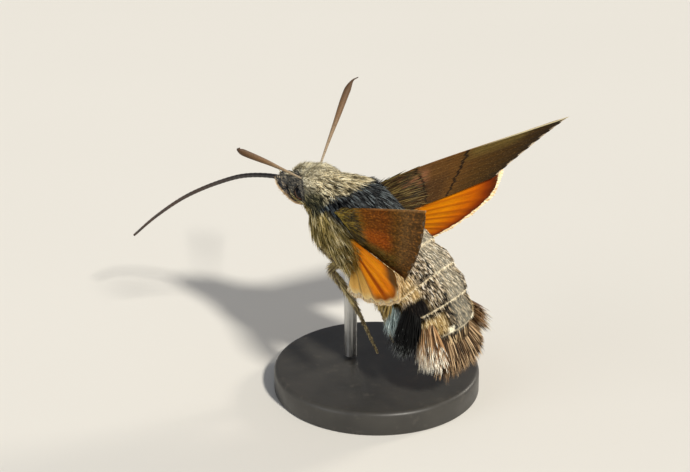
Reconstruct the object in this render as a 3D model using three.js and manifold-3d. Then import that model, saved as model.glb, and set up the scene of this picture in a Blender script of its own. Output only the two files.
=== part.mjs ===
// Hummingbird hawk moth, life size, hovering with its wings swept up and back, on a plain display stand.
// Millimetres, +Z up. The moth faces -Y and its left side is +X.
// The origin is the centre of the stand's underside.
import * as THREE from 'three';
import { mergeVertices } from 'three/addons/utils/BufferGeometryUtils.js';
import Module from 'manifold-3d';

const wasm = await Module();
wasm.setup();

const DEG = Math.PI / 180;
const GAP = 0.3; // between neighbouring pieces
const LEFT = 1;
const RIGHT = -1;

// Stand
const BASE_RADIUS = 10.5;
const BASE_THICKNESS = 2.5;
const BASE_CHAMFER = 0.5;
const ROD_RADIUS = 0.65;
const ROD_S = 0.2; // under the middle of the thorax

// Body: distances s run along the body's axis, backwards from the middle of the thorax.
const THORAX_MIDDLE = new THREE.Vector3(0, -2.5, 17.9);
const BODY_PITCH = 25.3 * DEG; // nose up
const DROOP_START = 4.5; // where the abdomen starts to curl down
const DROOP_RATE = 4.0 * DEG; // of curl for each millimetre
const NECK = -4.3;
const WAIST = 4.4;
const ABDOMEN_END = 14.5;
const TAIL_CORE_END = 18.0;
const SEGMENTS = 4;
const SEGMENT_STEP = 0.16; // each abdominal plate's rear rim stands proud of the next plate

// Half width, height above and depth below the axis, at each distance along it.
const BODY_PROFILE = [
  { s: -5.6, width: 2.0, above: 2.45, below: 1.9 },
  { s: NECK, width: 2.5, above: 3.05, below: 2.45 },
  { s: -3.2, width: 3.1, above: 3.55, below: 3.1 },
  { s: -1.6, width: 3.8, above: 4.15, below: 3.7 },
  { s: 0.4, width: 4.15, above: 4.4, below: 4.1 },
  { s: 2.6, width: 4.1, above: 4.1, below: 3.95 },
  { s: WAIST, width: 3.85, above: 3.6, below: 3.65 },
  { s: 7.0, width: 3.9, above: 3.4, below: 3.5 },
  { s: 9.5, width: 4.1, above: 3.2, below: 3.1 },
  { s: 12.0, width: 3.8, above: 2.7, below: 2.5 },
  { s: ABDOMEN_END, width: 3.0, above: 1.9, below: 1.7 },
  { s: 16.4, width: 2.0, above: 0.9, below: 0.9 },
  { s: TAIL_CORE_END, width: 1.4, above: 0.45, below: 0.45 },
];

// Head
const HEAD_CENTRE_S = -6.3;
const HEAD_DROP = 0.25;
const HEAD_NOD = 8 * DEG; // the head is bent down from the thorax
const HEAD_HALF = { width: 1.95, length: 2.15, height: 2.25 };
const EYE_RADIUS = 0.85;
const EYE_SIDE = 1.42;
const EYE_AHEAD = -0.3;
const EYE_GAP = 0.12; // around the eyeball in its socket
const NAPE_LENGTH = 1.6;
const FACE = { ahead: 1.55, drop: 0.4, half: 1.15, halfLength: 1.9 }; // a blunt cone of scales
const PALP_LENGTH = 2.7;
const PALP_HALF_WIDTH = 0.58;
const PROBOSCIS_LENGTH = 25;
const PROBOSCIS_RADIUS = 0.3;
const PROBOSCIS_TIP_RADIUS = 0.17;

// Antennae: clubbed, with a small hooked tip.
const ANTENNA_LENGTH = 11;
const ANTENNA_BASE_RADIUS = 0.25;
const ANTENNA_CLUB_RADIUS = 0.42;
const ANTENNA_HOOK = 0.7;

// Wings: a place on a wing is so far out along its leading edge and so far back across it.
const WING_HALF_THICKNESS = 0.25;
const ROOT_HALF_THICKNESS = 0.2; // extra, where the wing leaves the body
const VEIN_HEIGHT = 0.1;
const VEIN_HALF_WIDTH = 0.22; // as a share of the space between veins
const FOREWING_LENGTH = 21.3;
const HINDWING_BELOW = 0.95; // from the forewing's middle surface to the hindwing's
const FOLD_LINE = 7.2;
const SCALLOP = 0.14; // the outer edge runs out a little at each vein

// The stroke, in degrees: how far back the leading edge is swept and raised, how far the blade is
// turned down behind it, how much more it turns towards the tip, and how far the hindwing is folded
// back behind its hinge line. The bow is a share of the full curve of the leading edge.
const STROKE = {
  [LEFT]: { sweep: 56.9, rise: 21.7, pitch: 28.6, twist: 0, fold: 10, bow: 0.35 },
  [RIGHT]: { sweep: 47.9, rise: 18.9, pitch: 60, twist: 38, fold: 40, bow: 1 },
};

const { lerp, smoothstep } = THREE.MathUtils;
const point = (x, y, z) => new THREE.Vector3(x, y, z);

// A repeatable stand-in for chance.
function makeRandom(seed) {
  let state = seed;
  return () => {
    state = (state * 1664525 + 1013904223) % 4294967296;
    return state / 4294967296;
  };
}

// Closed surfaces and solids

// A closed surface through rings of points. A ring of one point is a tip.
// Any other ring at an end is filled flat.
function skin(rings) {
  const positions = [];
  const starts = rings.map((ring) => {
    const start = positions.length / 3;
    ring.forEach((p) => positions.push(p.x, p.y, p.z));
    return start;
  });
  const faces = [];
  for (let i = 0; i + 1 < rings.length; i += 1) {
    const near = rings[i].length;
    const far = rings[i + 1].length;
    const sides = Math.max(near, far);
    for (let k = 0; k < sides; k += 1) {
      const next = (k + 1) % sides;
      const a = starts[i] + (near === 1 ? 0 : k);
      const b = starts[i] + (near === 1 ? 0 : next);
      const c = starts[i + 1] + (far === 1 ? 0 : next);
      const d = starts[i + 1] + (far === 1 ? 0 : k);
      if (near > 1) faces.push(a, b, far === 1 ? c : d);
      if (far > 1) faces.push(near === 1 ? a : b, c, d);
    }
  }
  [[0, true], [rings.length - 1, false]].forEach(([index, flip]) => {
    const ring = rings[index];
    if (ring.length === 1) return;
    const middle = ring.reduce((sum, p) => sum.add(p), point(0, 0, 0)).divideScalar(ring.length);
    const centre = positions.length / 3;
    positions.push(middle.x, middle.y, middle.z);
    ring.forEach((_, k) => {
      const a = starts[index] + k;
      const b = starts[index] + ((k + 1) % ring.length);
      faces.push(centre, flip ? b : a, flip ? a : b);
    });
  });
  const geometry = new THREE.BufferGeometry();
  geometry.setAttribute('position', new THREE.Float32BufferAttribute(positions, 3));
  geometry.setIndex(faces);
  return geometry;
}

function toSolid(geometry) {
  const bare = geometry.clone();
  bare.deleteAttribute('normal');
  bare.deleteAttribute('uv');
  const merged = mergeVertices(bare, 1e-5);
  const vertProperties = new Float32Array(merged.attributes.position.array);
  const triVerts = new Uint32Array(merged.index.array);
  const solid = new wasm.Manifold(new wasm.Mesh({ numProp: 3, vertProperties, triVerts }));
  if (solid.volume() >= 0) return solid;
  for (let i = 0; i < triVerts.length; i += 3) {
    [triVerts[i + 1], triVerts[i + 2]] = [triVerts[i + 2], triVerts[i + 1]];
  }
  return new wasm.Manifold(new wasm.Mesh({ numProp: 3, vertProperties, triVerts }));
}

function largest(solid) {
  return solid.decompose().reduce((best, piece) => (piece.volume() > best.volume() ? piece : best));
}

function toGeometry(solid) {
  const mesh = solid.getMesh();
  const geometry = new THREE.BufferGeometry();
  const positions = new Float32Array(mesh.numVert * 3);
  for (let i = 0; i < mesh.numVert; i += 1) {
    positions.set(mesh.vertProperties.subarray(i * mesh.numProp, i * mesh.numProp + 3), i * 3);
  }
  geometry.setAttribute('position', new THREE.BufferAttribute(positions, 3));
  geometry.setIndex(new THREE.BufferAttribute(new Uint32Array(mesh.triVerts), 1));
  return geometry;
}

// A round rod along a curve, with closed ends.
function rod(curve, steps, sides, radiusAt) {
  const frames = curve.computeFrenetFrames(steps, false);
  const rings = [[curve.getPointAt(0)]];
  for (let i = 0; i <= steps; i += 1) {
    const t = i / steps;
    const centre = curve.getPointAt(t);
    const radius = radiusAt(t);
    rings.push(Array.from({ length: sides }, (_, k) => {
      const turn = (2 * Math.PI * k) / sides;
      return centre.clone()
        .addScaledVector(frames.normals[i], Math.cos(turn) * radius)
        .addScaledVector(frames.binormals[i], Math.sin(turn) * radius);
    }));
  }
  rings.push([curve.getPointAt(1)]);
  return skin(rings);
}

// A flat, tapered lock of scales that bends from one heading towards another.
function lock({ root, heading, bendTo, flatNormal, length, width, thickness }) {
  const steps = 3;
  const rings = [];
  const centre = root.clone();
  for (let i = 0; i < steps; i += 1) {
    const t = i / steps;
    const along = heading.clone().lerp(bendTo, t).normalize();
    const side = along.clone().cross(flatNormal).normalize();
    const normal = side.clone().cross(along).normalize();
    const half = 0.5 * width * (0.75 + 0.45 * Math.sin(Math.PI * t * 0.9)) * (1 - 0.35 * t);
    const deep = 0.5 * thickness * (1 - 0.45 * t);
    rings.push([
      centre.clone().addScaledVector(side, half),
      centre.clone().addScaledVector(normal, deep),
      centre.clone().addScaledVector(side, -half),
      centre.clone().addScaledVector(normal, -deep),
    ]);
    centre.addScaledVector(along, length / steps);
  }
  rings.push([centre]);
  return toSolid(skin(rings));
}

// The body's axis and cross-sections

// Where the axis is at a distance s, with its backward and upward directions.
function axisAt(s) {
  const step = 0.1;
  const place = point(0, 0, 0);
  const angleAt = (at) => BODY_PITCH + DROOP_RATE * Math.max(0, at - DROOP_START);
  const count = Math.ceil(Math.abs(s) / step);
  const part = count ? s / count : 0;
  for (let i = 0; i < count; i += 1) {
    const angle = angleAt(part * (i + 0.5));
    place.y += Math.cos(angle) * part;
    place.z -= Math.sin(angle) * part;
  }
  const angle = angleAt(s);
  return {
    centre: place.add(THORAX_MIDDLE),
    back: point(0, Math.cos(angle), -Math.sin(angle)),
    up: point(0, Math.sin(angle), Math.cos(angle)),
  };
}

// A smooth value between the profile's stations.
function profileAt(s) {
  const last = BODY_PROFILE.length - 1;
  let i = BODY_PROFILE.findIndex((station) => station.s > s) - 1;
  if (i < 0) i = s < BODY_PROFILE[0].s ? 0 : last - 1;
  const stations = [i - 1, i, i + 1, i + 2].map((k) => BODY_PROFILE[Math.min(last, Math.max(0, k))]);
  const t = THREE.MathUtils.clamp((s - stations[1].s) / (stations[2].s - stations[1].s), 0, 1);
  const blend = (key) => {
    const [p0, p1, p2, p3] = stations.map((station) => station[key]);
    return 0.5 * (2 * p1 + (p2 - p0) * t + (2 * p0 - 5 * p1 + 4 * p2 - p3) * t * t
      + (3 * p1 - p0 - 3 * p2 + p3) * t * t * t);
  };
  return { width: blend('width'), above: blend('above'), below: blend('below') };
}

// A point on the body's surface, grown by a margin: turn 0 is the left side, 90 degrees the back.
function bodyPoint(s, turn, grow = 0) {
  const { centre, up } = axisAt(s);
  const { width, above, below } = profileAt(s);
  const sine = Math.sin(turn);
  const height = (sine > 0 ? above : below) + grow;
  return centre.clone()
    .addScaledVector(point(1, 0, 0), (width + grow) * Math.cos(turn))
    .addScaledVector(up, height * sine);
}

function bodyRing(s, sides, grow) {
  return Array.from({ length: sides }, (_, k) => bodyPoint(s, (2 * Math.PI * k) / sides, grow));
}

function bodyLength(from, to, steps, sides, grow = 0) {
  const rings = [];
  for (let i = 0; i <= steps; i += 1) rings.push(bodyRing(lerp(from, to, i / steps), sides, grow));
  return toSolid(skin(rings));
}

// Head

const neck = axisAt(HEAD_CENTRE_S);
const headCentre = neck.centre.clone().addScaledVector(neck.up, -HEAD_DROP);
const headAngle = BODY_PITCH - HEAD_NOD;
const ahead = point(0, -Math.cos(headAngle), Math.sin(headAngle));
const crown = point(0, Math.sin(headAngle), Math.cos(headAngle));

// A place in the head's own directions: to its left, ahead and towards the crown.
function headPlace(left, forward, high) {
  return headCentre.clone().add(point(left, 0, 0))
    .addScaledVector(ahead, forward)
    .addScaledVector(crown, high);
}

function headSolid(grow = 0) {
  const skull = new THREE.SphereGeometry(1, 18, 11);
  skull.scale(HEAD_HALF.width + grow, HEAD_HALF.length + grow, HEAD_HALF.height + grow);
  skull.rotateX(-headAngle);
  skull.translate(headCentre.x, headCentre.y, headCentre.z);
  const face = new THREE.SphereGeometry(1, 12, 8);
  face.scale(FACE.half + grow, FACE.halfLength + grow, FACE.half + grow);
  face.rotateX(-headAngle);
  const place = headPlace(0, FACE.ahead, -FACE.drop);
  face.translate(place.x, place.y, place.z);
  return toSolid(skull).add(toSolid(face));
}

function ball(centre, radius, around, down) {
  const sphere = new THREE.SphereGeometry(radius, around, down);
  sphere.translate(centre.x, centre.y, centre.z);
  return toSolid(sphere);
}

const eyeCentre = (side) => headPlace(side * EYE_SIDE, EYE_AHEAD, 0);

const headCutter = headSolid(GAP);
const bodyCutter = bodyLength(NECK - GAP, ABDOMEN_END, 24, 28, GAP);

function makeHead() {
  // A low ruff of scales fills the nape between the head and the thorax.
  const nape = bodyLength(NECK - NAPE_LENGTH, NECK - GAP, 3, 20, -0.25);
  const whole = headSolid().subtract(bodyLength(NECK - GAP, 0, 6, 24, GAP)).add(nape);
  const sockets = [LEFT, RIGHT].map((side) => ball(eyeCentre(side), EYE_RADIUS + EYE_GAP, 16, 10));
  return largest(sockets.reduce((head, socket) => head.subtract(socket), whole));
}

// Labial palps: two blunt pads that curve up in front of the face on either side of the tongue.
function makePalp(side) {
  const curve = new THREE.QuadraticBezierCurve3(
    headPlace(side * 0.85, -0.5, -1.5),
    headPlace(side * 0.9, 1.6, -1.6),
    headPlace(side * 0.6, PALP_LENGTH + 0.7, -0.65),
  );
  const palp = rod(curve, 8, 10, (t) => PALP_HALF_WIDTH * Math.sqrt(Math.max(0.03, 1 - (2 * t - 1) ** 4)));
  return largest(toSolid(palp).subtract(headCutter).subtract(makeProboscis(GAP)).subtract(bodyCutter));
}

// The tongue is stretched out ahead: each stretch, a share of its length, slopes down more steeply
// than the one before.
const PROBOSCIS_STRETCHES = [
  { length: 0.18, slope: 10 },
  { length: 0.16, slope: 23 },
  { length: 0.24, slope: 30 },
  { length: 0.24, slope: 38 },
  { length: 0.18, slope: 43 },
];

const PROBOSCIS_START = [[0, 1.4, -0.45], [0, 3.6, -0.9]]; // the last of these is between the palps

function makeProboscis(grow = 0) {
  const places = PROBOSCIS_START.map((place) => headPlace(...place));
  const outside = PROBOSCIS_LENGTH - places[0].distanceTo(places[1]);
  PROBOSCIS_STRETCHES.forEach(({ length, slope }) => {
    const step = point(0, -Math.cos(slope * DEG), -Math.sin(slope * DEG));
    places.push(places[places.length - 1].clone().addScaledVector(step, length * outside));
  });
  const curve = new THREE.CatmullRomCurve3(places, false, 'centripetal');
  const radiusAt = (t) => lerp(PROBOSCIS_RADIUS, PROBOSCIS_TIP_RADIUS, t ** 2) + grow;
  const tongue = toSolid(rod(curve, 22, 8, radiusAt));
  return grow ? tongue : largest(tongue.subtract(headCutter));
}

const ANTENNA = {
  [LEFT]: { base: [0.9, 0.3, 1.3], heading: [0.84, -0.15, 0.5], bend: [0.84, -0.1, 0.52] },
  [RIGHT]: { base: [-0.9, -0.1, 1.3], heading: [-0.72, -0.09, 0.72], bend: [-0.77, -0.1, 0.64] },
};

function makeAntenna(side) {
  const { base, heading, bend } = ANTENNA[side];
  const root = headPlace(...base);
  const first = point(...heading).normalize();
  const second = point(...bend).normalize();
  const elbow = root.clone().addScaledVector(first, ANTENNA_LENGTH * 0.5);
  const tip = elbow.clone().addScaledVector(second, ANTENNA_LENGTH * 0.5);
  const hook = tip.clone().add(point(side * 0.35, 0.45, 0.35).normalize().multiplyScalar(ANTENNA_HOOK));
  const curve = new THREE.CatmullRomCurve3([
    root.clone().addScaledVector(first, -0.6),
    root,
    elbow,
    tip,
    hook,
  ]);
  const radiusAt = (t) => {
    const club = smoothstep(t, 0.25, 0.8);
    const taper = 1 - 0.8 * smoothstep(t, 0.84, 0.98);
    return lerp(ANTENNA_BASE_RADIUS, ANTENNA_CLUB_RADIUS, club) * taper;
  };
  const bulb = ball(root.clone().addScaledVector(first, 0.25), 0.38, 12, 8);
  const whip = toSolid(rod(curve, 20, 8, radiusAt));
  return largest(whip.add(bulb).subtract(headCutter).subtract(bodyCutter));
}

// Thorax, with a pad of scales over the front of each wing's base

const PAD = { s: -0.7, out: 2.85, high: 2.55, half: 0.68, halfLength: 2.0 };

function shoulderPad(side, grow = 0) {
  const { centre, up } = axisAt(PAD.s);
  const pad = new THREE.SphereGeometry(1, 14, 9);
  pad.scale(PAD.half + grow, PAD.halfLength + grow, PAD.half + grow);
  pad.rotateX(-BODY_PITCH);
  const place = centre.addScaledVector(up, PAD.high);
  pad.translate(side * PAD.out, place.y, place.z);
  return toSolid(pad);
}

function makeThorax() {
  return bodyLength(NECK, WAIST, 12, 28).add(shoulderPad(LEFT)).add(shoulderPad(RIGHT));
}

// Wings

// Directions of a wing: out along its leading edge, back across a level blade and down from it.
function wingDirections(side) {
  const { sweep, rise } = STROKE[side];
  const out = point(
    side * Math.cos(rise * DEG) * Math.cos(sweep * DEG),
    Math.cos(rise * DEG) * Math.sin(sweep * DEG),
    Math.sin(rise * DEG),
  );
  const { back } = axisAt(0);
  const flatChord = back.clone().addScaledVector(out, -back.dot(out)).normalize();
  const down = out.clone().cross(flatChord).multiplyScalar(-side).normalize();
  return { out, flatChord, down };
}

// The blade's chord direction, turned down from the body's own plane by the stroke's pitch.
function chordAt(side, share, fold = 0) {
  const { pitch, twist } = STROKE[side];
  const { flatChord, down } = wingDirections(side);
  const angle = (pitch + twist * share - fold) * DEG;
  return flatChord.clone().multiplyScalar(Math.cos(angle)).addScaledVector(down, Math.sin(angle));
}

const WING_ROOT = { s: -1.2, width: 3.3, height: 1.8 };

function wingRoot(side, s, height) {
  const { centre, up } = axisAt(s);
  return centre.clone().add(point(side * WING_ROOT.width, 0, 0)).addScaledVector(up, height);
}

// A place on the blade. Behind the hinge line the hindwing is folded back from the forewing's plane.
function bladePoint(side, along, across, below) {
  const { out } = wingDirections(side);
  const share = along / FOREWING_LENGTH;
  const chord = chordAt(side, share);
  const folded = chordAt(side, share, STROKE[side].fold);
  const upper = out.clone().cross(chord).multiplyScalar(side).normalize();
  return wingRoot(side, WING_ROOT.s, WING_ROOT.height)
    .addScaledVector(out, along)
    .addScaledVector(chord, Math.min(across, FOLD_LINE))
    .addScaledVector(folded, Math.max(0, across - FOLD_LINE))
    .addScaledVector(upper, -below);
}

// The outer edges, as places from the front corner to the rear corner of each wing.
const FOREWING_EDGE = new THREE.CatmullRomCurve3([
  point(FOREWING_LENGTH, 0.3, 0),
  point(20.0, 1.8, 0),
  point(17.1, 4.3, 0),
  point(13.7, 6.2, 0),
  point(12.6, 6.8, 0),
]);
const HINDWING_EDGE = new THREE.CatmullRomCurve3([
  point(13.3, 6.5, 0),
  point(13.3, 7.9, 0),
  point(12.1, 9.3, 0),
  point(9.3, 9.9, 0),
  point(5.6, 9.9, 0),
  point(2.3, 9.3, 0),
  point(0.0, 8.4, 0),
]);

// The near hindwing is cupped by the stroke, which draws it in: shares of its span and its chord.
const FULL = { span: 1, chord: 1 };
const CUPPED = { span: 0.96, chord: 0.9 };

const FOREWING = {
  edge: FOREWING_EDGE,
  spread: { [LEFT]: FULL, [RIGHT]: FULL },
  below: 0,
  rootFrom: { s: WING_ROOT.s, height: WING_ROOT.height },
  rootTo: { s: 1.7, height: 1.2 },
  veins: 7,
  cell: 0.42,
  steps: 11,
  bulge: 0.8,
  dip: -0.7,
};
const HINDWING = {
  edge: HINDWING_EDGE,
  spread: { [LEFT]: CUPPED, [RIGHT]: FULL },
  below: HINDWING_BELOW,
  rootFrom: { s: 1.2, height: 0.3 },
  rootTo: { s: 3.0, height: -1.6 },
  veins: 6,
  cell: 0.38,
  steps: 8,
  bulge: 0.2,
  dip: 0.3,
};

const ROOT_SHARE = 0.2; // of the wing's length, over which the stout root thins out
const BOW_CHORD_SHARE = 0.3; // the blade bows in the direction of its chord at this share of the span
const STEM_MARGIN = 0.3; // veins within this share of the front or rear edge start at the root
const CELL_FADE = 0.06; // the other veins rise over this share of the length, at the end of the cell

// The shares across a wing where its rays run: the ridge of each vein, with a foot on either side of it.
function rayShares(veins) {
  const shares = [0];
  for (let v = 0; v < veins; v += 1) {
    const at = (v + 0.5) / veins;
    const half = VEIN_HALF_WIDTH / veins;
    shares.push(at - half, at, at + half);
  }
  shares.push(1);
  return shares;
}

// A blade between its root line and its outer edge, with the main veins raised in its own surface.
function makeWing(side, wing, extra = 0) {
  const shares = rayShares(wing.veins);
  const { out } = wingDirections(side);
  const { span, chord } = wing.spread[side];
  const bowChord = chordAt(side, BOW_CHORD_SHARE);
  const rows = shares.map((share, r) => {
    const root = wingRoot(side, lerp(wing.rootFrom.s, wing.rootTo.s, share),
      lerp(wing.rootFrom.height, wing.rootTo.height, share));
    const place = wing.edge.getPointAt(share);
    const isRidge = r % 3 === 2;
    const edge = bladePoint(side, place.x * span, place.y * chord, wing.below);
    if (isRidge) edge.addScaledVector(edge.clone().sub(root).normalize(), SCALLOP);
    const bow = lerp(wing.bulge * STROKE[side].bow, wing.dip, share);
    return Array.from({ length: wing.steps + 1 }, (_, i) => {
      const t = i / wing.steps;
      const middle = root.clone().lerp(edge, t);
      middle.addScaledVector(bowChord, -bow * Math.sin(Math.PI * Math.sqrt(t)));
      const fromCell = smoothstep(t, wing.cell - CELL_FADE, wing.cell);
      const stem = share < STEM_MARGIN || share > 1 - STEM_MARGIN;
      const ridge = isRidge ? VEIN_HEIGHT * (stem ? 1 : fromCell) : 0;
      return { middle, ridge };
    });
  });
  const normalAt = (r, i) => {
    const across = rows[Math.min(r + 1, rows.length - 1)][i].middle.clone()
      .sub(rows[Math.max(r - 1, 0)][i].middle);
    const along = rows[r][Math.min(i + 1, wing.steps)].middle.clone()
      .sub(rows[r][Math.max(i - 1, 0)].middle);
    return along.cross(across).multiplyScalar(side).normalize();
  };
  const positions = [];
  const faces = [];
  const columns = wing.steps + 1;
  [1, -1].forEach((face) => {
    rows.forEach((row, r) => row.forEach(({ middle, ridge }, i) => {
      const stout = ROOT_HALF_THICKNESS * (1 - smoothstep(i / wing.steps, 0, ROOT_SHARE));
      const half = WING_HALF_THICKNESS + stout + ridge + extra;
      const p = middle.clone().addScaledVector(normalAt(r, i), face * half);
      if (extra && i === wing.steps) p.addScaledVector(out, extra);
      if (extra && r === rows.length - 1) p.addScaledVector(bowChord, extra);
      positions.push(p.x, p.y, p.z);
    }));
  });
  const index = (face, r, i) => (face > 0 ? 0 : rows.length * columns) + r * columns + i;
  const quad = (a, b, c, d) => faces.push(a, b, c, a, c, d);
  for (let r = 0; r + 1 < rows.length; r += 1) {
    for (let i = 0; i < wing.steps; i += 1) {
      quad(index(1, r, i), index(1, r + 1, i), index(1, r + 1, i + 1), index(1, r, i + 1));
      faces.push(
        index(-1, r, i), index(-1, r + 1, i + 1), index(-1, r + 1, i),
        index(-1, r, i), index(-1, r, i + 1), index(-1, r + 1, i + 1),
      );
    }
  }
  const lastRow = rows.length - 1;
  for (let i = 0; i < wing.steps; i += 1) {
    quad(index(1, 0, i), index(1, 0, i + 1), index(-1, 0, i + 1), index(-1, 0, i));
    quad(index(1, lastRow, i + 1), index(1, lastRow, i), index(-1, lastRow, i), index(-1, lastRow, i + 1));
  }
  const end = wing.steps;
  for (let r = 0; r < lastRow; r += 1) {
    quad(index(1, r + 1, 0), index(1, r, 0), index(-1, r, 0), index(-1, r + 1, 0));
    quad(index(1, r, end), index(1, r + 1, end), index(-1, r + 1, end), index(-1, r, end));
  }
  const geometry = new THREE.BufferGeometry();
  geometry.setAttribute('position', new THREE.Float32BufferAttribute(positions, 3));
  geometry.setIndex(faces);
  return toSolid(geometry);
}

// Legs: each is a chain of thigh, shin and foot. The first two pairs are tucked up under the thorax.
const LEG_RADII = [0.38, 0.33, 0.27, 0.2];

function makeLeg(places) {
  const curve = new THREE.CatmullRomCurve3(places, false, 'centripetal');
  const radiusAt = (t) => {
    const at = t * (LEG_RADII.length - 1);
    const i = Math.min(LEG_RADII.length - 2, Math.floor(at));
    return lerp(LEG_RADII[i], LEG_RADII[i + 1], at - i) * (1 - 0.3 * smoothstep(t, 0.95, 1));
  };
  return largest(toSolid(rod(curve, 16, 7, radiusAt)).subtract(bodyCutter));
}

// Places of the leg joints: sideways, backwards along the thorax and below its axis.
const LEGS = {
  foreleg: [[1.1, -2.4, 2.2], [1.6, -2.7, 3.25], [1.4, -0.9, 4.05], [1.1, 1.9, 4.4]],
  midleg: [[1.9, 0.4, 3.0], [3.1, -0.9, 2.9], [3.3, 1.6, 3.1], [2.9, 4.4, 3.5]],
  hindleg: [[1.9, 1.5, 3.2], [2.6, 0.9, 4.5], [2.2, 2.8, 5.9], [1.8, 4.6, 7.2], [1.5, 8.9, 10.4]],
};

function underThorax(side, out, back, depth) {
  const thorax = axisAt(0);
  return thorax.centre.add(point(side * out, 0, 0))
    .addScaledVector(thorax.back, back)
    .addScaledVector(thorax.up, -depth);
}

// Abdomen

const LOCK = { width: 1.1, thickness: 0.5 };
const LOCK_SUNK = 0.75; // how far a side lock's root is sunk in the body
const segmentLength = (ABDOMEN_END - WAIST - GAP) / SEGMENTS;

// Side tufts: rows of locks rooted between two places along the body and between two turns around it.
// The heading is given outwards, backwards and downwards.
const SIDE_TUFTS = [
  { count: 6, s: [8.7, 10.1], turn: [-30, -58], heading: [0.62, 0.55, 0.5], length: 3.5 },
  { count: 8, s: [10.8, 12.1], turn: [2, -42], heading: [0.42, 0.68, 0.62], length: 4.7 },
  { count: 7, s: [13.0, 14.1], turn: [38, -30], heading: [0.6, 0.8, 0.3], length: 4.1 },
];

function sideLocks(side, tuft, random) {
  const locks = [];
  for (let k = 0; k < tuft.count; k += 1) {
    const share = (k + 0.5) / tuft.count;
    const s = lerp(tuft.s[0], tuft.s[1], (k % 2) * 0.7 + 0.3 * random());
    const slant = lerp(tuft.turn[0], tuft.turn[1], share) * DEG;
    const turn = side === LEFT ? slant : Math.PI - slant;
    const { back, up } = axisAt(s);
    const [out, rear, down] = tuft.heading;
    const across = point(side, 0, 0);
    const stray = 0.12 * (random() - 0.5);
    const heading = across.clone().multiplyScalar(out + 0.25 * Math.cos(slant) + stray)
      .addScaledVector(back, rear + stray)
      .addScaledVector(up, -down + 0.35 * Math.sin(slant))
      .normalize();
    const bendTo = heading.clone().multiplyScalar(0.7).add(point(0, 0, -0.45)).normalize();
    const root = bodyPoint(s, turn, -LOCK_SUNK);
    const surface = bodyPoint(s, turn, 1).sub(bodyPoint(s, turn, 0)).normalize();
    const length = tuft.length * (0.82 + 0.3 * random()) + LOCK_SUNK;
    const { width, thickness } = LOCK;
    locks.push(lock({ root, heading, bendTo, flatNormal: surface, length, width, thickness }));
  }
  return locks;
}

function makeAbdomen() {
  const rings = [];
  for (let k = 0; k < SEGMENTS; k += 1) {
    const from = WAIST + GAP + k * segmentLength;
    rings.push(bodyRing(from, 26, -SEGMENT_STEP));
    rings.push(bodyRing(from + 0.3 * segmentLength, 26, -0.2 * SEGMENT_STEP));
    rings.push(bodyRing(from + 0.65 * segmentLength, 26, 0.4 * SEGMENT_STEP));
    rings.push(bodyRing(from + 0.96 * segmentLength, 26, 0));
  }
  const core = toSolid(skin(rings));
  const random = makeRandom(7);
  const locks = [LEFT, RIGHT].flatMap((side) => (
    SIDE_TUFTS.flatMap((tuft) => sideLocks(side, tuft, random))
  ));
  return largest(wasm.Manifold.union([core, ...locks]));
}

// Tail: a flattened core under a fan of long scales, in three tiers from the upper side to the lower.
const FAN_TIERS = [
  { count: 8, s: 14.95, high: 0.85, half: 2.5, spread: 28, length: 4.2 },
  { count: 9, s: 15.3, high: 0.1, half: 2.7, spread: 34, length: 4.4 },
  { count: 7, s: 15.0, high: -0.75, half: 2.3, spread: 26, length: 3.8 },
];

function makeTail() {
  const core = bodyLength(ABDOMEN_END + GAP, TAIL_CORE_END, 5, 20, -0.35);
  const random = makeRandom(23);
  const locks = FAN_TIERS.flatMap(({ count, s, high, half, spread, length }) => {
    const { centre, back, up } = axisAt(s);
    return Array.from({ length: count }, (_, k) => {
      const across = (2 * (k + 0.5)) / count - 1;
      const angle = (across * spread + 5 * (random() - 0.5)) * DEG;
      const root = centre.clone()
        .add(point(across * half * 0.85, 0, 0))
        .addScaledVector(up, high * (1 - 0.35 * across * across));
      const heading = back.clone().multiplyScalar(Math.cos(angle))
        .add(point(Math.sin(angle), 0, 0))
        .addScaledVector(up, 0.16 * high)
        .normalize();
      const bendTo = heading.clone().addScaledVector(up, -0.12).normalize();
      const reach = length * (1 - 0.14 * across * across) * (0.9 + 0.16 * random());
      const { width, thickness } = LOCK;
      return lock({ root, heading, bendTo, flatNormal: up, length: reach, width, thickness });
    });
  });
  const behindAbdomen = bodyLength(WAIST, ABDOMEN_END + GAP, 12, 24, 1.5);
  return largest(wasm.Manifold.union([core, ...locks]).subtract(behindAbdomen));
}

// Display stand

function makeBase() {
  const outline = [
    [0, 0],
    [BASE_RADIUS, 0],
    [BASE_RADIUS, BASE_THICKNESS - BASE_CHAMFER],
    [BASE_RADIUS - BASE_CHAMFER, BASE_THICKNESS],
    [0, BASE_THICKNESS],
  ].map(([radius, height]) => new THREE.Vector2(radius, height));
  const base = new THREE.LatheGeometry(outline, 48);
  base.rotateX(Math.PI / 2);
  return toSolid(base);
}

const rodPlace = underThorax(LEFT, 0, ROD_S, 2);

function makeRod() {
  const length = rodPlace.z - BASE_THICKNESS - GAP;
  const cylinder = new THREE.CylinderGeometry(ROD_RADIUS, ROD_RADIUS, length, 20);
  cylinder.rotateX(Math.PI / 2);
  cylinder.translate(0, rodPlace.y, BASE_THICKNESS + GAP + length / 2);
  return largest(toSolid(cylinder).subtract(bodyCutter));
}

const parts = new THREE.Group();

function add(name, solid, material) {
  const mesh = new THREE.Mesh(toGeometry(solid), material);
  mesh.name = name;
  parts.add(mesh);
}

const finish = (colour, roughness) => new THREE.MeshStandardMaterial({ color: colour, roughness });

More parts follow.
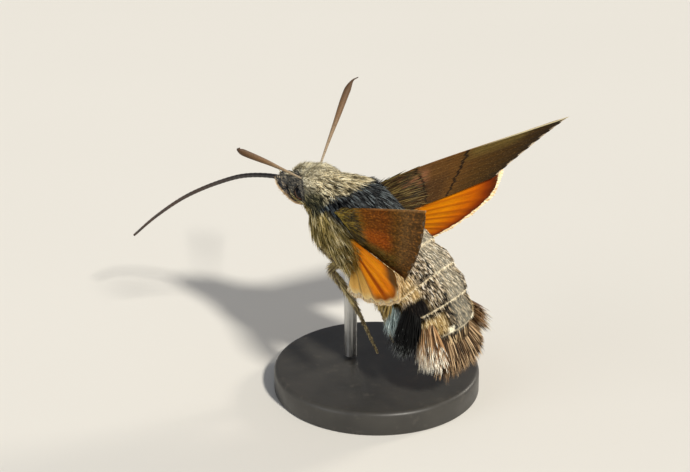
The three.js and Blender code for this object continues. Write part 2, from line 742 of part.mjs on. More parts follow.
add('thorax', makeThorax(), finish(0x8f8768, 0.9));
add('head', makeHead(), finish(0x4a5054, 0.9));
add('abdomen', makeAbdomen(), finish(0x9a917c, 0.9));
add('tail_tuft', makeTail(), finish(0x7a6144, 0.9));
[LEFT, RIGHT].forEach((side) => {
  const name = side === LEFT ? 'left' : 'right';
  add(`eye_${name}`, ball(eyeCentre(side), EYE_RADIUS, 16, 10), finish(0x0c0a09, 0.2));
  add(`palp_${name}`, makePalp(side), finish(0xb89a74, 0.9));
  add(`antenna_${name}`, makeAntenna(side), finish(0x9c8860, 0.7));
  const forewing = makeWing(side, FOREWING).subtract(bodyCutter).subtract(shoulderPad(side, GAP));
  const hindwing = makeWing(side, HINDWING).subtract(bodyCutter).subtract(makeWing(side, FOREWING, GAP));
  add(`forewing_${name}`, largest(forewing), finish(0x6b5236, 0.8));
  add(`hindwing_${name}`, largest(hindwing), finish(0xd9801a, 0.8));
  Object.entries(LEGS).forEach(([leg, places]) => {
    const joints = places.map((place) => underThorax(side, ...place));
    add(`${leg}_${name}`, makeLeg(joints), finish(0x6a5d4b, 0.8));
  });
});
add('proboscis', makeProboscis(), finish(0x1a1512, 0.4));
add('stand_base', makeBase(), finish(0x3b3a38, 0.5));
add('stand_rod', makeRod(), finish(0xb8b8b8, 0.35));

export default parts;
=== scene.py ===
"""Looks of the hummingbird hawk moth model: skin, scales, wings, eyes and display stand.

Shapes are worked out in millimetres from the same named values as the CAD source, and written to the
scene in metres. The moth faces -Y, its left side is +X and +Z is up.
"""
import math

import bpy
import numpy as np
from mathutils import Matrix


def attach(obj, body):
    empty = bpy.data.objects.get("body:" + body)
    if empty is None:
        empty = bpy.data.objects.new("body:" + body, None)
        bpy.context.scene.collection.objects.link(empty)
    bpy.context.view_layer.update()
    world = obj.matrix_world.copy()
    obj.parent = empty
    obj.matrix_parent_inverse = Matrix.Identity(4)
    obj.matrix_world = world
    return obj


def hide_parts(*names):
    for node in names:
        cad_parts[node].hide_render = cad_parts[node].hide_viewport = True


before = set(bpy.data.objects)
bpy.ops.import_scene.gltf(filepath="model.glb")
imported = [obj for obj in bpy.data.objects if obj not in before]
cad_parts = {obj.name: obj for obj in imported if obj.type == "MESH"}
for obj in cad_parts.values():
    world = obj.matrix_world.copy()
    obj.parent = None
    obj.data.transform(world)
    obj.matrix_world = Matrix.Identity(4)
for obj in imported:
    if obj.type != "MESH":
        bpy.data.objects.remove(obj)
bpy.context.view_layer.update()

MM = 0.001
LEFT, RIGHT = 1, -1
SIDES = {"left": LEFT, "right": RIGHT}
LEFTWARD = np.array([1.0, 0, 0])
COAT_SHARE = 1.0

# Body, as in the CAD source: distances s run backwards along the axis from the middle of the thorax
THORAX_MIDDLE = np.array([0.0, -2.5, 17.9])
PITCH = math.radians(25.3)
DROOP_START, DROOP_RATE = 4.5, math.radians(4.0)
NECK, WAIST, ABDOMEN_END, TAIL_END = -4.3, 4.4, 14.5, 18.0
PLATES = 4
PLATE_LENGTH = (ABDOMEN_END - WAIST) / PLATES
# Distance, half width, height above the axis and depth below it
PROFILE = np.array([
    [-5.6, 2.0, 2.45, 1.9],
    [-4.3, 2.5, 3.05, 2.45],
    [-3.2, 3.1, 3.55, 3.1],
    [-1.6, 3.8, 4.15, 3.7],
    [0.4, 4.15, 4.4, 4.1],
    [2.6, 4.1, 4.1, 3.95],
    [4.4, 3.85, 3.6, 3.65],
    [7.0, 3.9, 3.4, 3.5],
    [9.5, 4.1, 3.2, 3.1],
    [12.0, 3.8, 2.7, 2.5],
    [14.5, 3.0, 1.9, 1.7],
    [16.4, 2.0, 0.9, 0.9],
    [18.0, 1.4, 0.45, 0.45],
])

# Head
HEAD_S, HEAD_DROP = -6.3, 0.25
HEAD_NOD = math.radians(8)
HEAD_HALF = (1.95, 2.15, 2.25)
FACE_PLACE, FACE_HALF = (0, 1.55, -0.4), (1.15, 1.9, 1.15)
COLLAR_PLACE, COLLAR_HALF = (0, -1.6, 0.45), (2.6, 2.9, 2.45)
CREST_START, CREST_REACH, CREST_POWER = -5.3, 3.1, 2.2
EYE_PLACE, EYE_RADIUS = (1.42, -0.3, 0), 0.85
PALP_LENGTH, PALP_HALF_WIDTH = 2.7, 0.58
PROBOSCIS_LENGTH = 25
PROBOSCIS_STRETCHES = ((0.18, 10), (0.16, 23), (0.24, 30), (0.24, 38), (0.18, 43))
ANTENNA_LENGTH, ANTENNA_HOOK, ANTENNA_RINGS = 11, 0.7, 62
ANTENNA = {
    LEFT: ((0.9, 0.0, 1.05), (0.84, -0.19, 0.56), (0.84, -0.1, 0.52)),
    RIGHT: ((-0.9, -0.1, 1.3), (-0.72, -0.09, 0.72), (-0.77, -0.1, 0.64)),
}

# Wings
WING_ROOT_S, WING_ROOT_WIDTH, WING_ROOT_HEIGHT = -1.2, 3.3, 1.8
FOREWING_LENGTH, FOLD_LINE = 21.3, 7.2
BLADE_HALF, BASE_SWELLING, VEIN_HEIGHT, VEIN_RIPPLE = 0.07, 0.2, 0.07, 0.05
STROKE = {
    LEFT: {"sweep": 56.9, "rise": 21.7, "pitch": 28.6, "twist": 0, "fold": 10, "bow": 0.35},
    RIGHT: {"sweep": 47.9, "rise": 18.9, "pitch": 60, "twist": 38, "fold": 40, "bow": 1},
}
FOREWING = {
    "edge": [(21.3, 0.3), (20.0, 1.8), (17.1, 4.3), (13.7, 6.2), (12.6, 6.8)],
    "spread": {LEFT: (1, 1), RIGHT: (1, 1)},
    "below": 0, "root_from": (-1.2, 1.8), "root_to": (1.7, 1.2), "veins": 7, "bulge": 0.8, "dip": -0.7,
    "scallop": 0.0,
}
HINDWING = {
    "edge": [(13.3, 6.5), (13.3, 7.9), (12.1, 9.3), (9.3, 9.9), (5.6, 9.9), (2.3, 9.3), (0, 8.4)],
    "spread": {LEFT: (0.96, 0.9), RIGHT: (1, 1)},
    "below": 0.95, "root_from": (1.2, 0.3), "root_to": (3.0, -1.6), "veins": 6, "bulge": 0.2, "dip": 0.3,
    "scallop": 0.12,
}

# Legs: places to the side, behind and below the middle of the thorax
LEGS = {
    "foreleg": ((1.1, -2.4, 2.2), (1.6, -2.7, 3.25), (1.4, -0.9, 4.05), (1.1, 1.9, 4.4)),
    "midleg": ((1.9, 0.4, 3.0), (3.1, -0.9, 2.9), (3.3, 1.6, 3.1), (2.9, 4.4, 3.5)),
    "hindleg": ((1.9, 1.5, 3.2), (2.6, 0.9, 4.5), (2.2, 2.8, 5.9), (1.8, 4.6, 7.2), (1.5, 8.9, 10.4)),
}

# Stand
BASE_RADIUS, BASE_THICKNESS, BASE_ROUNDING = 10.5, 2.5, 0.5

# Camera axes, from the photo's viewing angle
CAMERA_RIGHT = np.array([-0.549, 0.8358, 0.0])
CAMERA_UP = np.array([-0.3306, -0.2171, 0.9184])
CAMERA_BACK = np.array([0.7676, 0.5042, 0.3955])
CAMERA_DISTANCE, CAMERA_LENS = 192, 100.17


def unit(vectors):
    vectors = np.asarray(vectors, float)
    return vectors / np.maximum(np.linalg.norm(vectors, axis=-1, keepdims=True), 1e-9)


def smoothstep(x, low, high):
    t = np.clip((np.asarray(x, float) - low) / (high - low), 0, 1)
    return t * t * (3 - 2 * t)


def column(values):
    return np.asarray(values, float)[..., None]


def circle(count):
    return np.linspace(0, 2 * np.pi, count, endpoint=False)


def stray(rng, directions, amount):
    """Directions that stray from the given ones."""
    return unit(directions + amount * rng.normal(size=directions.shape))


def grid_reader(row, col, next_col, row_share, col_share):
    """A function that reads a grid between its rows and columns."""
    def read(grid):
        near, far = (
            (1 - col_share) * grid[r, col] + col_share * grid[r, next_col] for r in (row, row + 1))
        return (1 - row_share) * near + row_share * far

    return read


def smooth_curve(points, count):
    """Evenly spaced places on the centripetal Catmull-Rom curve through some points."""
    points = np.array(points, float)
    padded = np.vstack([2 * points[0] - points[1], points, 2 * points[-1] - points[-2]])
    t = np.linspace(0, 1, 40, endpoint=False)[:, None]
    pieces = []
    for p0, p1, p2, p3 in zip(padded, padded[1:], padded[2:], padded[3:]):
        d0, d1, d2 = (math.sqrt(np.linalg.norm(b - a)) for a, b in ((p0, p1), (p1, p2), (p2, p3)))
        m1 = d1 * ((p1 - p0) / d0 - (p2 - p0) / (d0 + d1) + (p2 - p1) / d1)
        m2 = d1 * ((p2 - p1) / d1 - (p3 - p1) / (d1 + d2) + (p3 - p2) / d2)
        pieces.append(p1 + m1 * t + (3 * (p2 - p1) - 2 * m1 - m2) * t**2 + (2 * (p1 - p2) + m1 + m2) * t**3)
    line = np.vstack(pieces + [points[-1:]])
    run = np.concatenate([[0], np.cumsum(np.linalg.norm(np.diff(line, axis=0), axis=1))])
    at = np.linspace(0, run[-1], count)
    return np.stack([np.interp(at, run, line[:, k]) for k in range(line.shape[1])], axis=1)


# Body shape

def axis_at(s):
    """Centre, backward and upward directions of the body's axis at distances s."""
    s = np.asarray(s, float)
    angle = PITCH + DROOP_RATE * np.maximum(0, s - DROOP_START)
    straight = np.minimum(s, DROOP_START)
    sine, cosine, zero = np.sin(angle), np.cos(angle), np.zeros_like(s)
    y = straight * math.cos(PITCH) + (sine - math.sin(PITCH)) / DROOP_RATE
    z = -straight * math.sin(PITCH) - (math.cos(PITCH) - cosine) / DROOP_RATE
    centre = np.stack([zero, y, z], -1) + THORAX_MIDDLE
    return centre, np.stack([zero, cosine, -sine], -1), np.stack([zero, sine, cosine], -1)


def profile_at(s):
    """Half width, height above and depth below the axis, smooth between the profile's stations."""
    last = len(PROFILE) - 1
    i = np.clip(np.searchsorted(PROFILE[:, 0], s, side="right") - 1, 0, last - 1)
    t = column(np.clip((s - PROFILE[i, 0]) / (PROFILE[i + 1, 0] - PROFILE[i, 0]), 0, 1))
    p0, p1, p2, p3 = (PROFILE[np.clip(i + k, 0, last), 1:] for k in (-1, 0, 1, 2))
    value = 0.5 * (2 * p1 + (p2 - p0) * t + (2 * p0 - 5 * p1 + 4 * p2 - p3) * t**2
                   + (3 * p1 - p0 - 3 * p2 + p3) * t**3)
    return value[..., 0], value[..., 1], value[..., 2]


head_angle = PITCH - HEAD_NOD
AHEAD = np.array([0, -math.cos(head_angle), math.sin(head_angle)])
CROWN = np.array([0, math.sin(head_angle), math.cos(head_angle)])
neck_centre, _, neck_up = axis_at(HEAD_S)
HEAD_CENTRE = neck_centre - HEAD_DROP * neck_up


def head_place(left, ahead, high):
    """A place in the head's own directions: to its left, ahead and towards the crown."""
    return HEAD_CENTRE + left * LEFTWARD + ahead * AHEAD + high * CROWN


def reach_to_ellipsoid(start, direction, middle, axes, half):
    """How far each ray from inside runs to an ellipsoid's far side, or 0 where it misses."""
    axes = np.array(axes) / np.array(half)[:, None]
    p = (start - middle) @ axes.T
    d = direction @ axes.T
    a, b, c = (d * d).sum(-1), (p * d).sum(-1), (p * p).sum(-1) - 1
    inside = b * b - a * c
    return np.where(inside > 0, (-b + np.sqrt(np.maximum(inside, 0))) / a, 0)


# The skin: one surface from the tip of the face to the tail, wrapped round a bent centre line

SKIN_START = -9.6
HEAD_AXES = [LEFTWARD, AHEAD, CROWN]
HEAD_SINK = 1.05
PAD_S, PAD_OUT, PAD_HIGH, PAD_HALF = -0.7, 2.85, 2.55, (0.68, 2.0, 0.68)
SKIN_SIDES, SMOOTHING_ROUNDS = 112, 5


def coat_depth(s):
    """How deep the skin lies under the CAD surface."""
    return 0.12 + 0.13 * smoothstep(s, -7.2, -4.0) - 0.13 * smoothstep(s, 3.0, 5.5)


def plate_step(s):
    """The abdomen's plates: each rises backwards to a rim that stands over the next one."""
    part = np.mod((s - WAIST) / PLATE_LENGTH, 1.0)
    rise = -0.2 + 0.26 * smoothstep(part, 0.0, 0.55) - 0.05 * smoothstep(part, 0.8, 1)
    return np.where((s > WAIST) & (s < ABDOMEN_END), rise, -0.1)


class Skin:
    def __init__(self):
        self.s = np.concatenate([
            SKIN_START + 0.25 * np.linspace(0, 1, 8)[:-1] ** 2,
            np.linspace(SKIN_START + 0.25, NECK, 70)[:-1],
            np.linspace(NECK, WAIST, 60)[:-1],
            np.linspace(WAIST, ABDOMEN_END, 120)[:-1],
            np.linspace(ABDOMEN_END, TAIL_END, 24),
        ])
        self.turn = circle(SKIN_SIDES)
        s, turn = np.meshgrid(self.s, self.turn, indexing="ij")
        centre, _, up = axis_at(s)
        sink = -HEAD_SINK * np.clip((NECK - s) / (NECK - SKIN_START), 0, 1)
        start = centre + column(sink) * up
        width, above, below = profile_at(s)
        height = np.where(np.sin(turn) > 0, above, below)
        heading = column(width * np.cos(turn)) * LEFTWARD + column(height * np.sin(turn)) * up
        body = np.linalg.norm(heading, axis=-1) * (s > NECK - 1.6) + 0.25 * sink * np.sin(turn)
        heading = unit(heading)
        ellipsoids = [
            (HEAD_CENTRE, HEAD_AXES, HEAD_HALF),
            (head_place(*FACE_PLACE), HEAD_AXES, FACE_HALF),
            (head_place(*COLLAR_PLACE), HEAD_AXES, COLLAR_HALF),
        ]
        centre, back, up = axis_at(PAD_S)
        for side in SIDES.values():
            middle = centre + PAD_HIGH * up + side * PAD_OUT * LEFTWARD
            ellipsoids.append((middle, [LEFTWARD, back, up], PAD_HALF))
        reach = np.max([body] + [reach_to_ellipsoid(start, heading, *form) for form in ellipsoids], axis=0)
        for _ in range(SMOOTHING_ROUNDS):
            sides = 0.5 * (np.roll(reach, 1, axis=1) + np.roll(reach, -1, axis=1))
            reach = 0.5 * reach + 0.5 * sides
            reach[1:-1] = 0.5 * reach[1:-1] + 0.25 * (reach[:-2] + reach[2:])
        reach = np.maximum(0.05, reach - coat_depth(s) + plate_step(s))
        self.place = start + column(reach) * heading
        self.back = unit(np.gradient(self.place, axis=0))
        self.across = unit(np.roll(self.place, -1, axis=1) - np.roll(self.place, 1, axis=1))
        self.normal = unit(np.cross(self.back, self.across))
        along = np.linalg.norm(np.diff(self.place, axis=0), axis=-1)
        around = np.linalg.norm(np.roll(self.place, -1, axis=1) - self.place, axis=-1)[:-1]
        self.area = along * around

    def at(self, s, turn):
        """Place, backward direction, sideways direction and normal of the skin."""
        row = np.interp(s, self.s, np.arange(len(self.s)))
        col = np.mod(turn, 2 * np.pi) / (2 * np.pi) * len(self.turn)
        first_row = np.clip(row.astype(int), 0, len(self.s) - 2)
        first_col = np.floor(col).astype(int) % len(self.turn)
        read = grid_reader(first_row, first_col, (first_col + 1) % len(self.turn),
                           column(row - first_row), column(col - np.floor(col)))
        return read(self.place), unit(read(self.back)), unit(read(self.across)), unit(read(self.normal))

    def scatter(self, rng, count, low, high, weight):
        """Random roots between two distances, spread by area and by a weight of s and turn."""
        s, turn = np.meshgrid(0.5 * (self.s[1:] + self.s[:-1]), self.turn, indexing="ij")
        share = self.area * ((s >= low) & (s <= high)) * weight(s, turn)
        share = share.ravel() / share.sum()
        row, col = np.divmod(rng.choice(share.size, count, p=share), len(self.turn))
        s = self.s[row] + rng.random(count) * (self.s[row + 1] - self.s[row])
        turn = self.turn[col] + rng.random(count) * 2 * np.pi / len(self.turn)
        return s, turn


skin = Skin()


def unwrap(s, turn):
    """The skin's own unwrap: round the body across it, along the body up it."""
    u = np.mod(turn / (2 * np.pi) + 0.25, 1.0)
    v = (s - SKIN_START) / (TAIL_END - SKIN_START)
    return 0.01 + 0.98 * u, 0.01 + 0.98 * np.clip(v, 0, 1)


# Meshes

def make_object(name, points, faces, material, attributes=None, loop_uv=None, smooth=True):
    """A mesh object from millimetre points and an array of triangles or quads."""
    faces = np.asarray(faces, np.int32)
    mesh = bpy.data.meshes.new(name)
    mesh.vertices.add(len(points))
    mesh.vertices.foreach_set("co", (np.asarray(points, float) * MM).ravel())
    mesh.loops.add(faces.size)
    mesh.loops.foreach_set("vertex_index", faces.ravel())
    mesh.polygons.add(len(faces))
    mesh.polygons.foreach_set("loop_start", np.arange(len(faces), dtype=np.int32) * faces.shape[1])
    mesh.update(calc_edges=True)
    mesh.polygons.foreach_set("use_smooth", np.full(len(faces), smooth))
    for key, values in (attributes or {}).items():
        layer = mesh.attributes.new(key, "FLOAT", "POINT")
        layer.data.foreach_set("value", np.asarray(values, np.float32).ravel())
    if loop_uv is not None:
        layer = mesh.uv_layers.new(name="OFBake")
        layer.data.foreach_set("uv", np.asarray(loop_uv, np.float32).ravel())
    mesh.validate()
    mesh.materials.append(material)
    piece = bpy.data.objects.new(name, mesh)
    bpy.context.scene.collection.objects.link(piece)
    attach(piece, "root")
    return piece


def grid_faces(rows, cols, next_col, stride):
    """Quads between the rows and columns of a grid of points."""
    low, high = rows * stride, (rows + 1) * stride
    return np.stack([low + cols, low + next_col, high + next_col, high + cols], -1).reshape(-1, 4)


def tube_mesh(rings):
    """Quads round a tube of rings, with a fan of quads at each end."""
    rows, sides = rings.shape[:2]
    r, k = np.meshgrid(np.arange(rows - 1), np.arange(sides), indexing="ij")
    faces = grid_faces(r, k, (k + 1) % sides, sides)
    points = rings.reshape(-1, 3)
    ends = []
    for row, flip in ((0, True), (rows - 1, False)):
        hub = len(points)
        points = np.vstack([points, rings[row].mean(0)])
        for a in range(0, sides, 2):
            quad = [hub] + [row * sides + (a + step) % sides for step in range(3)]
            ends.append(quad[::-1] if flip else quad)
    return points, np.vstack([faces, ends])


def tube_rings(line, radius, sides, squash=1.0):
    """Rings of points round a line, carried along it without twisting."""
    tangent = unit(np.gradient(line, axis=0))
    normal = np.zeros_like(line)
    guess = np.array([0.0, 0, 1]) if abs(tangent[0, 2]) < 0.9 else LEFTWARD
    for i, t in enumerate(tangent):
        guess = unit(guess - t * guess.dot(t))
        normal[i] = guess
    side = np.cross(tangent, normal)
    angle = circle(sides)
    radius = np.broadcast_to(radius, len(line))[:, None]
    return (line[:, None] + column(radius * np.cos(angle)) * side[:, None]
            + column(radius * squash * np.sin(angle)) * normal[:, None])


def tube(name, line, radius, sides, material, squash=1.0):
    points, faces = tube_mesh(tube_rings(line, radius, sides, squash))
    along = np.repeat(np.linspace(0, 1, len(line)), sides)
    return make_object(name, points, faces, material, {"t": np.append(along, [0, 1])})


# Outlines of the blades: shares of the length, each with its share of the width
SHORT = ((0.0, 0.7), (0.5, 1.0))
LONG = ((0.0, 0.5), (0.25, 0.9), (0.5, 1.0), (0.78, 0.75))
UV_PATCH = 0.003


def grow(name, material, uv, marks, root, lie, normal, length, width, lift=0.0, settle=0.0,
         sag=0.0, form=SHORT, flat=0.3):
    """Closed, flat, tapered blades: each leaves its root at the lift and ends at the settle angle.

    marks gives the attributes at each root; along the blade, s runs on with the blade itself.
    """
    count, steps = len(root), len(form)
    length, width, lift, settle, sag = (
        np.broadcast_to(value, count).astype(float) for value in (length, width, lift, settle, sag))
    across = unit(np.cross(normal, lie))
    normal = unit(np.cross(lie, across))
    first = column(np.cos(lift)) * lie + column(np.sin(lift)) * normal
    last = column(np.cos(settle)) * lie + column(np.sin(settle)) * normal
    last = last - column(sag) * np.array([0, 0, 1.0])
    share = np.array([t for t, _ in form] + [1.0])
    centre = (root[:, None] + column(column(length) * share) * first[:, None]
              + column(column(length) * 0.5 * share**2) * (last - first)[:, None])
    breadth = column(width) * 0.5 * np.array([w for _, w in form])
    body = centre[:, :-1]
    wide = column(breadth) * across[:, None]
    tall = column(breadth * 2 * flat) * normal[:, None]
    rings = np.stack([body - wide, body + wide, body + tall], axis=2)
    points = np.concatenate([rings.reshape(count, steps * 3, 3), centre[:, -1:]], axis=1)

    tip = 3 * steps
    faces = [(0, 1, 2)]
    for a in range(tip - 3):
        b = a + 1 if a % 3 < 2 else a - 2
        faces += [(a, a + 3, b), (b, a + 3, b + 3)]
    faces += [(tip - 3 + k, tip, tip - 3 + (k + 1) % 3) for k in range(3)]
    faces = np.array(faces)
    index = faces[None] + (np.arange(count) * (tip + 1))[:, None, None]

    along = np.append(np.repeat(share[:-1], 3), 1.0)
    sideways = np.append(np.tile([-0.5, 0.5, 0.0], steps), 0.0)
    u, v = column(uv[0]) + UV_PATCH * sideways, column(uv[1]) + UV_PATCH * (along - 0.5)
    loop_uv = np.stack([u[:, faces], v[:, faces]], -1)
    spread = {key: np.repeat(column(value), tip + 1, axis=1) for key, value in marks.items()}
    if "s" in spread:
        spread["s"] = spread["s"] + column(length) * along * spread.pop("run")
    spread["tip"] = np.broadcast_to(along, (count, tip + 1))
    make_object(name, points.reshape(-1, 3), index.reshape(-1, 3), material, spread, loop_uv,
                smooth=False)


# Materials

def rgb(red, green, blue):
    """A colour given as screen values, in the renderer's linear units."""
    values = np.array([red, green, blue]) / 255
    linear = np.where(values <= 0.04045, values / 12.92, ((values + 0.055) / 1.055) ** 2.4)
    return tuple(float(v) for v in linear) + (1.0,)


class Material:
    """Short calls for one material's nodes.

    A value is a number, another node's output, or a colour as a tuple of three screen values. The
    material's own colour is laid on in coats, by paint.
    """

    def __init__(self, name, roughness=0.6, specular=0.3, metallic=0.0):
        self.material = bpy.data.materials.new(name)
        self.material.use_nodes = True
        self.tree = self.material.node_tree
        self.tree.nodes.clear()
        self.colour = None
        self.shader = self.node("ShaderNodeBsdfPrincipled")
        self.node("ShaderNodeOutputMaterial", {"Surface": self.shader.outputs[0]})
        self.put("Roughness", roughness)
        self.put("Specular IOR Level", specular)
        self.put("Metallic", metallic)

    def feed(self, socket, value):
        if isinstance(value, bpy.types.NodeSocket):
            self.tree.links.new(value, socket)
        else:
            socket.default_value = rgb(*value) if isinstance(value, tuple) else value

    def node(self, kind, inputs=(), **settings):
        """A new node, with the values of its inputs by name or number."""
        node = self.tree.nodes.new(kind)
        for key, value in settings.items():
            setattr(node, key, value)
        for key, value in dict(inputs).items():
            self.feed(node.inputs[key], value)
        return node

    def put(self, name, value):
        self.feed(self.shader.inputs[name], value)

    def attributes(self, *names):
        return [self.node("ShaderNodeAttribute", attribute_name=name).outputs["Fac"] for name in names]

    def math(self, operation, *values):
        return self.node("ShaderNodeMath", enumerate(values), operation=operation).outputs[0]

    def line(self, value, slope, start):
        return self.math("MULTIPLY_ADD", value, slope, start)

    def times(self, *values):
        product = values[0]
        for value in values[1:]:
            product = self.math("MULTIPLY", product, value)
        return product

    def fade(self, value, low, high):
        """0 at low, 1 at high and smooth between them."""
        start, end = (1.0, 0.0) if low > high else (0.0, 1.0)
        inputs = {"Value": value, "From Min": min(low, high), "From Max": max(low, high),
                  "To Min": start, "To Max": end}
        return self.node("ShaderNodeMapRange", inputs, interpolation_type="SMOOTHSTEP").outputs[0]

    def band(self, value, low, high, soft):
        """1 between low and high, with soft edges."""
        rise, fall = self.fade(value, low - soft, low + soft), self.fade(value, high + soft, high - soft)
        return self.times(rise, fall)

    def mix(self, share, a, b):
        return self.node("ShaderNodeMix", {0: share, 6: a, 7: b}, data_type="RGBA").outputs[2]

    def paint(self, shade, *shares):
        """Lays a shade over the colour so far, as far as the product of the shares."""
        self.colour = self.mix(self.times(*shares), self.colour, shade)

    def done(self):
        """The finished material, in the colour as painted."""
        self.put("Base Color", self.colour)
        return self.material

    def brighten(self, colour, factor):
        inputs = {0: colour, "Scale": factor}
        return self.node("ShaderNodeVectorMath", inputs, operation="SCALE").outputs[0]

    def ramp(self, value, *stops):
        """A run of colours: each stop is a position and three screen values."""
        node = self.node("ShaderNodeValToRGB", {0: value})
        elements = node.color_ramp.elements
        while len(elements) < len(stops):
            elements.new(0.5)
        for element, (position, *colour) in zip(elements, stops):
            element.position = position
            element.color = rgb(*colour)
        return node.outputs[0]

    def vector(self, x, y, z=0.0):
        return self.node("ShaderNodeCombineXYZ", enumerate((x, y, z))).outputs[0]

    def place(self):
        return self.node("ShaderNodeTexCoord").outputs["Object"]

    def noise(self, vector, scale, detail=3.0):
        inputs = {"Vector": vector, "Scale": scale, "Detail": detail, "Roughness": 0.6}
        return self.node("ShaderNodeTexNoise", inputs).outputs["Fac"]

    def bump(self, height, strength, distance):
        inputs = {"Height": height, "Strength": strength, "Distance": distance}
        self.put("Normal", self.node("ShaderNodeBump", inputs).outputs[0])


def body_colours(m, seed):
    """The body's markings with painted shade, shadow and light, by distance along it and height and side
    round it; seed picks the tone.
    """
    s, high, side = m.attributes("s", "high", "side")
    flank = m.math("ABSOLUTE", side)
    pale = (244, 238, 214)

    # Thorax: olive back and buff breast; shoulders darker, partly in their own tone and partly by painted
    # shade; a slate painted shadow over the rear
    back = m.ramp(seed, (0, 26, 24, 18), (0.25, 80, 73, 54), (0.5, 170, 156, 120), (0.75, 228, 214, 176),
                  (1, 255, 248, 218))
    shaded = m.ramp(seed, (0, 8, 10, 10), (0.4, 34, 36, 30), (0.75, 76, 76, 56), (1, 140, 132, 98))
    painted_shadow = m.ramp(seed, (0, 4, 6, 9), (0.5, 22, 29, 38), (0.85, 48, 58, 68), (1, 104, 116, 122))
    breast = m.ramp(seed, (0, 48, 42, 20), (0.4, 128, 112, 62), (0.75, 186, 166, 104), (1, 248, 232, 184))
    m.colour = back
    # painted shade, partly the sides' own darker tone: the front of the thorax darker on its sides
    m.paint(shaded, m.band(high, -0.35, 0.5, 0.14), m.fade(s, 0.0, -1.4))
    # painted shadow: the rear of the thorax turns slate behind a diagonal line across its top
    shadow_line = m.line(m.math("SUBTRACT", 1.0, high), 2.7, s)
    m.paint(painted_shadow, m.fade(shadow_line, -0.85, -0.45), m.fade(high, 0.05, 0.3), 0.95)
    level = m.line(m.fade(s, -3.2, -1.6), -0.56, high)
    m.paint(breast, m.fade(level, -0.12, -0.36))

    # Abdomen: dark and pale scales, with buff and black on the sides, a pale rim on each plate and a faint
    # painted highlight along the top
    # the abdomen's tone runs darker on the top and towards the rear
    darker_top_and_rear = m.line(m.fade(high, 0.45, 0.8), -0.09, m.line(m.fade(s, 10.6, 12.6), -0.2, seed))
    belly = m.ramp(darker_top_and_rear, (0, 4, 4, 6), (0.3, 26, 24, 26), (0.4, 112, 100, 82), (0.66, 190, 171, 138),
                   (1, 255, 250, 234))
    buff = m.ramp(seed, (0, 150, 118, 66), (0.5, 206, 176, 116), (1, 240, 222, 176))
    black = m.ramp(seed, (0, 8, 7, 8), (0.8, 26, 23, 22), (1, 66, 58, 50))
    abdomen = m.fade(m.line(seed, 0.9, s), 3.9, 5.2)
    m.paint(belly, abdomen)
    m.paint(buff, m.band(high, 0.18, 0.5, 0.1), m.fade(flank, 0.5, 0.8), abdomen, m.fade(s, 12.6, 11.6), 0.85)
    m.paint(black, m.fade(flank, 0.45, 0.7), m.band(s, 10.4, 12.4, 0.25), m.band(high, -0.75, 0.52, 0.08))
    m.paint(buff, m.fade(flank, 0.4, 0.7), m.band(s, 7.4, 10.0, 0.4), m.band(high, -0.8, 0.2, 0.15))
    m.paint(buff, m.band(s, 12.6, 14.3, 0.3), m.fade(flank, 0.55, 0.8), 0.7)
    for plate in range(1, PLATES + 1):
        rim = WAIST + plate * PLATE_LENGTH
        rim_tone = m.mix(seed, (196, 166, 112), pale)
        m.paint(rim_tone, m.band(s, rim - 0.02, rim + 0.2, 0.02), m.fade(seed, 0.02, 0.25), 0.85)
        m.paint(black, m.band(s, rim - 0.4, rim - 0.12, 0.08), 0.3)
    # painted highlight: a faint pale stripe along the top of the abdomen
    m.paint(pale, m.fade(high, 0.88, 0.98), m.fade(s, 5.0, 7.0), 0.2)
    m.paint(pale, m.band(s, 14.0, 14.65, 0.08), m.band(flank, 0.5, 0.72, 0.05), m.fade(high, 0.3, 0.5))
    fan = m.ramp(seed, (0, 22, 16, 12), (0.45, 78, 62, 44), (0.8, 132, 110, 80), (1, 196, 172, 134))
    m.paint(fan, m.fade(s, 14.7, 15.2))

    # Head: crown lightened with painted light, grey face with a pale tuft, and buff chin
    face = m.ramp(seed, (0, 24, 26, 28), (0.5, 72, 72, 70), (0.85, 116, 110, 98), (1, 146, 136, 116))
    face = m.mix(m.times(m.fade(high, 0.5, 0.9), m.band(s, -9.0, -8.3, 0.25)), face, back)
    # painted light: the top of the head and collar lightened towards pale buff
    crown = m.mix(seed, (150, 138, 106), (255, 250, 226))
    m.paint(crown, m.fade(s, -4.2, -5.6), m.fade(high, 0.1, 0.6), 0.8)
    crest = m.math("POWER", m.math("MAXIMUM", high, 0.0), CREST_POWER)
    border = m.line(crest, -CREST_REACH, CREST_START)
    m.paint(face, m.fade(m.math("SUBTRACT", s, border), 0.15, -0.15))
    m.paint(breast, m.fade(s, -4.6, -5.2), m.fade(high, -0.3, -0.6))


def coat_material(name, colours=body_colours, roughness=0.62, dark=0.5, light=0.3):
    """Scales: the body's colours in a tone of their own, darker at the root and lighter at the tip."""
    m = Material(name, roughness, specular=0.1)
    seed, tip = m.attributes("seed", "tip")
    colours(m, seed)
    m.paint((16, 14, 12), m.fade(tip, 0.35, 0.0), dark)
    m.colour = m.brighten(m.colour, m.line(m.fade(tip, 0.4, 1.0), light, 1.0))
    return m.done()


def skin_material():
    m = Material("skin", roughness=0.75, specular=0.2)
    s, high, side = m.attributes("s", "high", "side")
    streaks = m.noise(m.vector(m.times(s, 0.5), m.times(high, 7.0), m.times(side, 7.0)), 3.0)
    body_colours(m, m.fade(streaks, 0.3, 0.7))
    m.colour = m.mix(0.55, m.colour, (20, 17, 14))
    m.bump(streaks, 0.6, 0.0001)
    return m.done()


def wing_noise(m, along_scale, across_scale, detail=4.0):
    reach, share = m.attributes("reach", "share")
    return m.noise(m.vector(m.times(reach, along_scale), m.times(share, across_scale)), 1.0, detail)


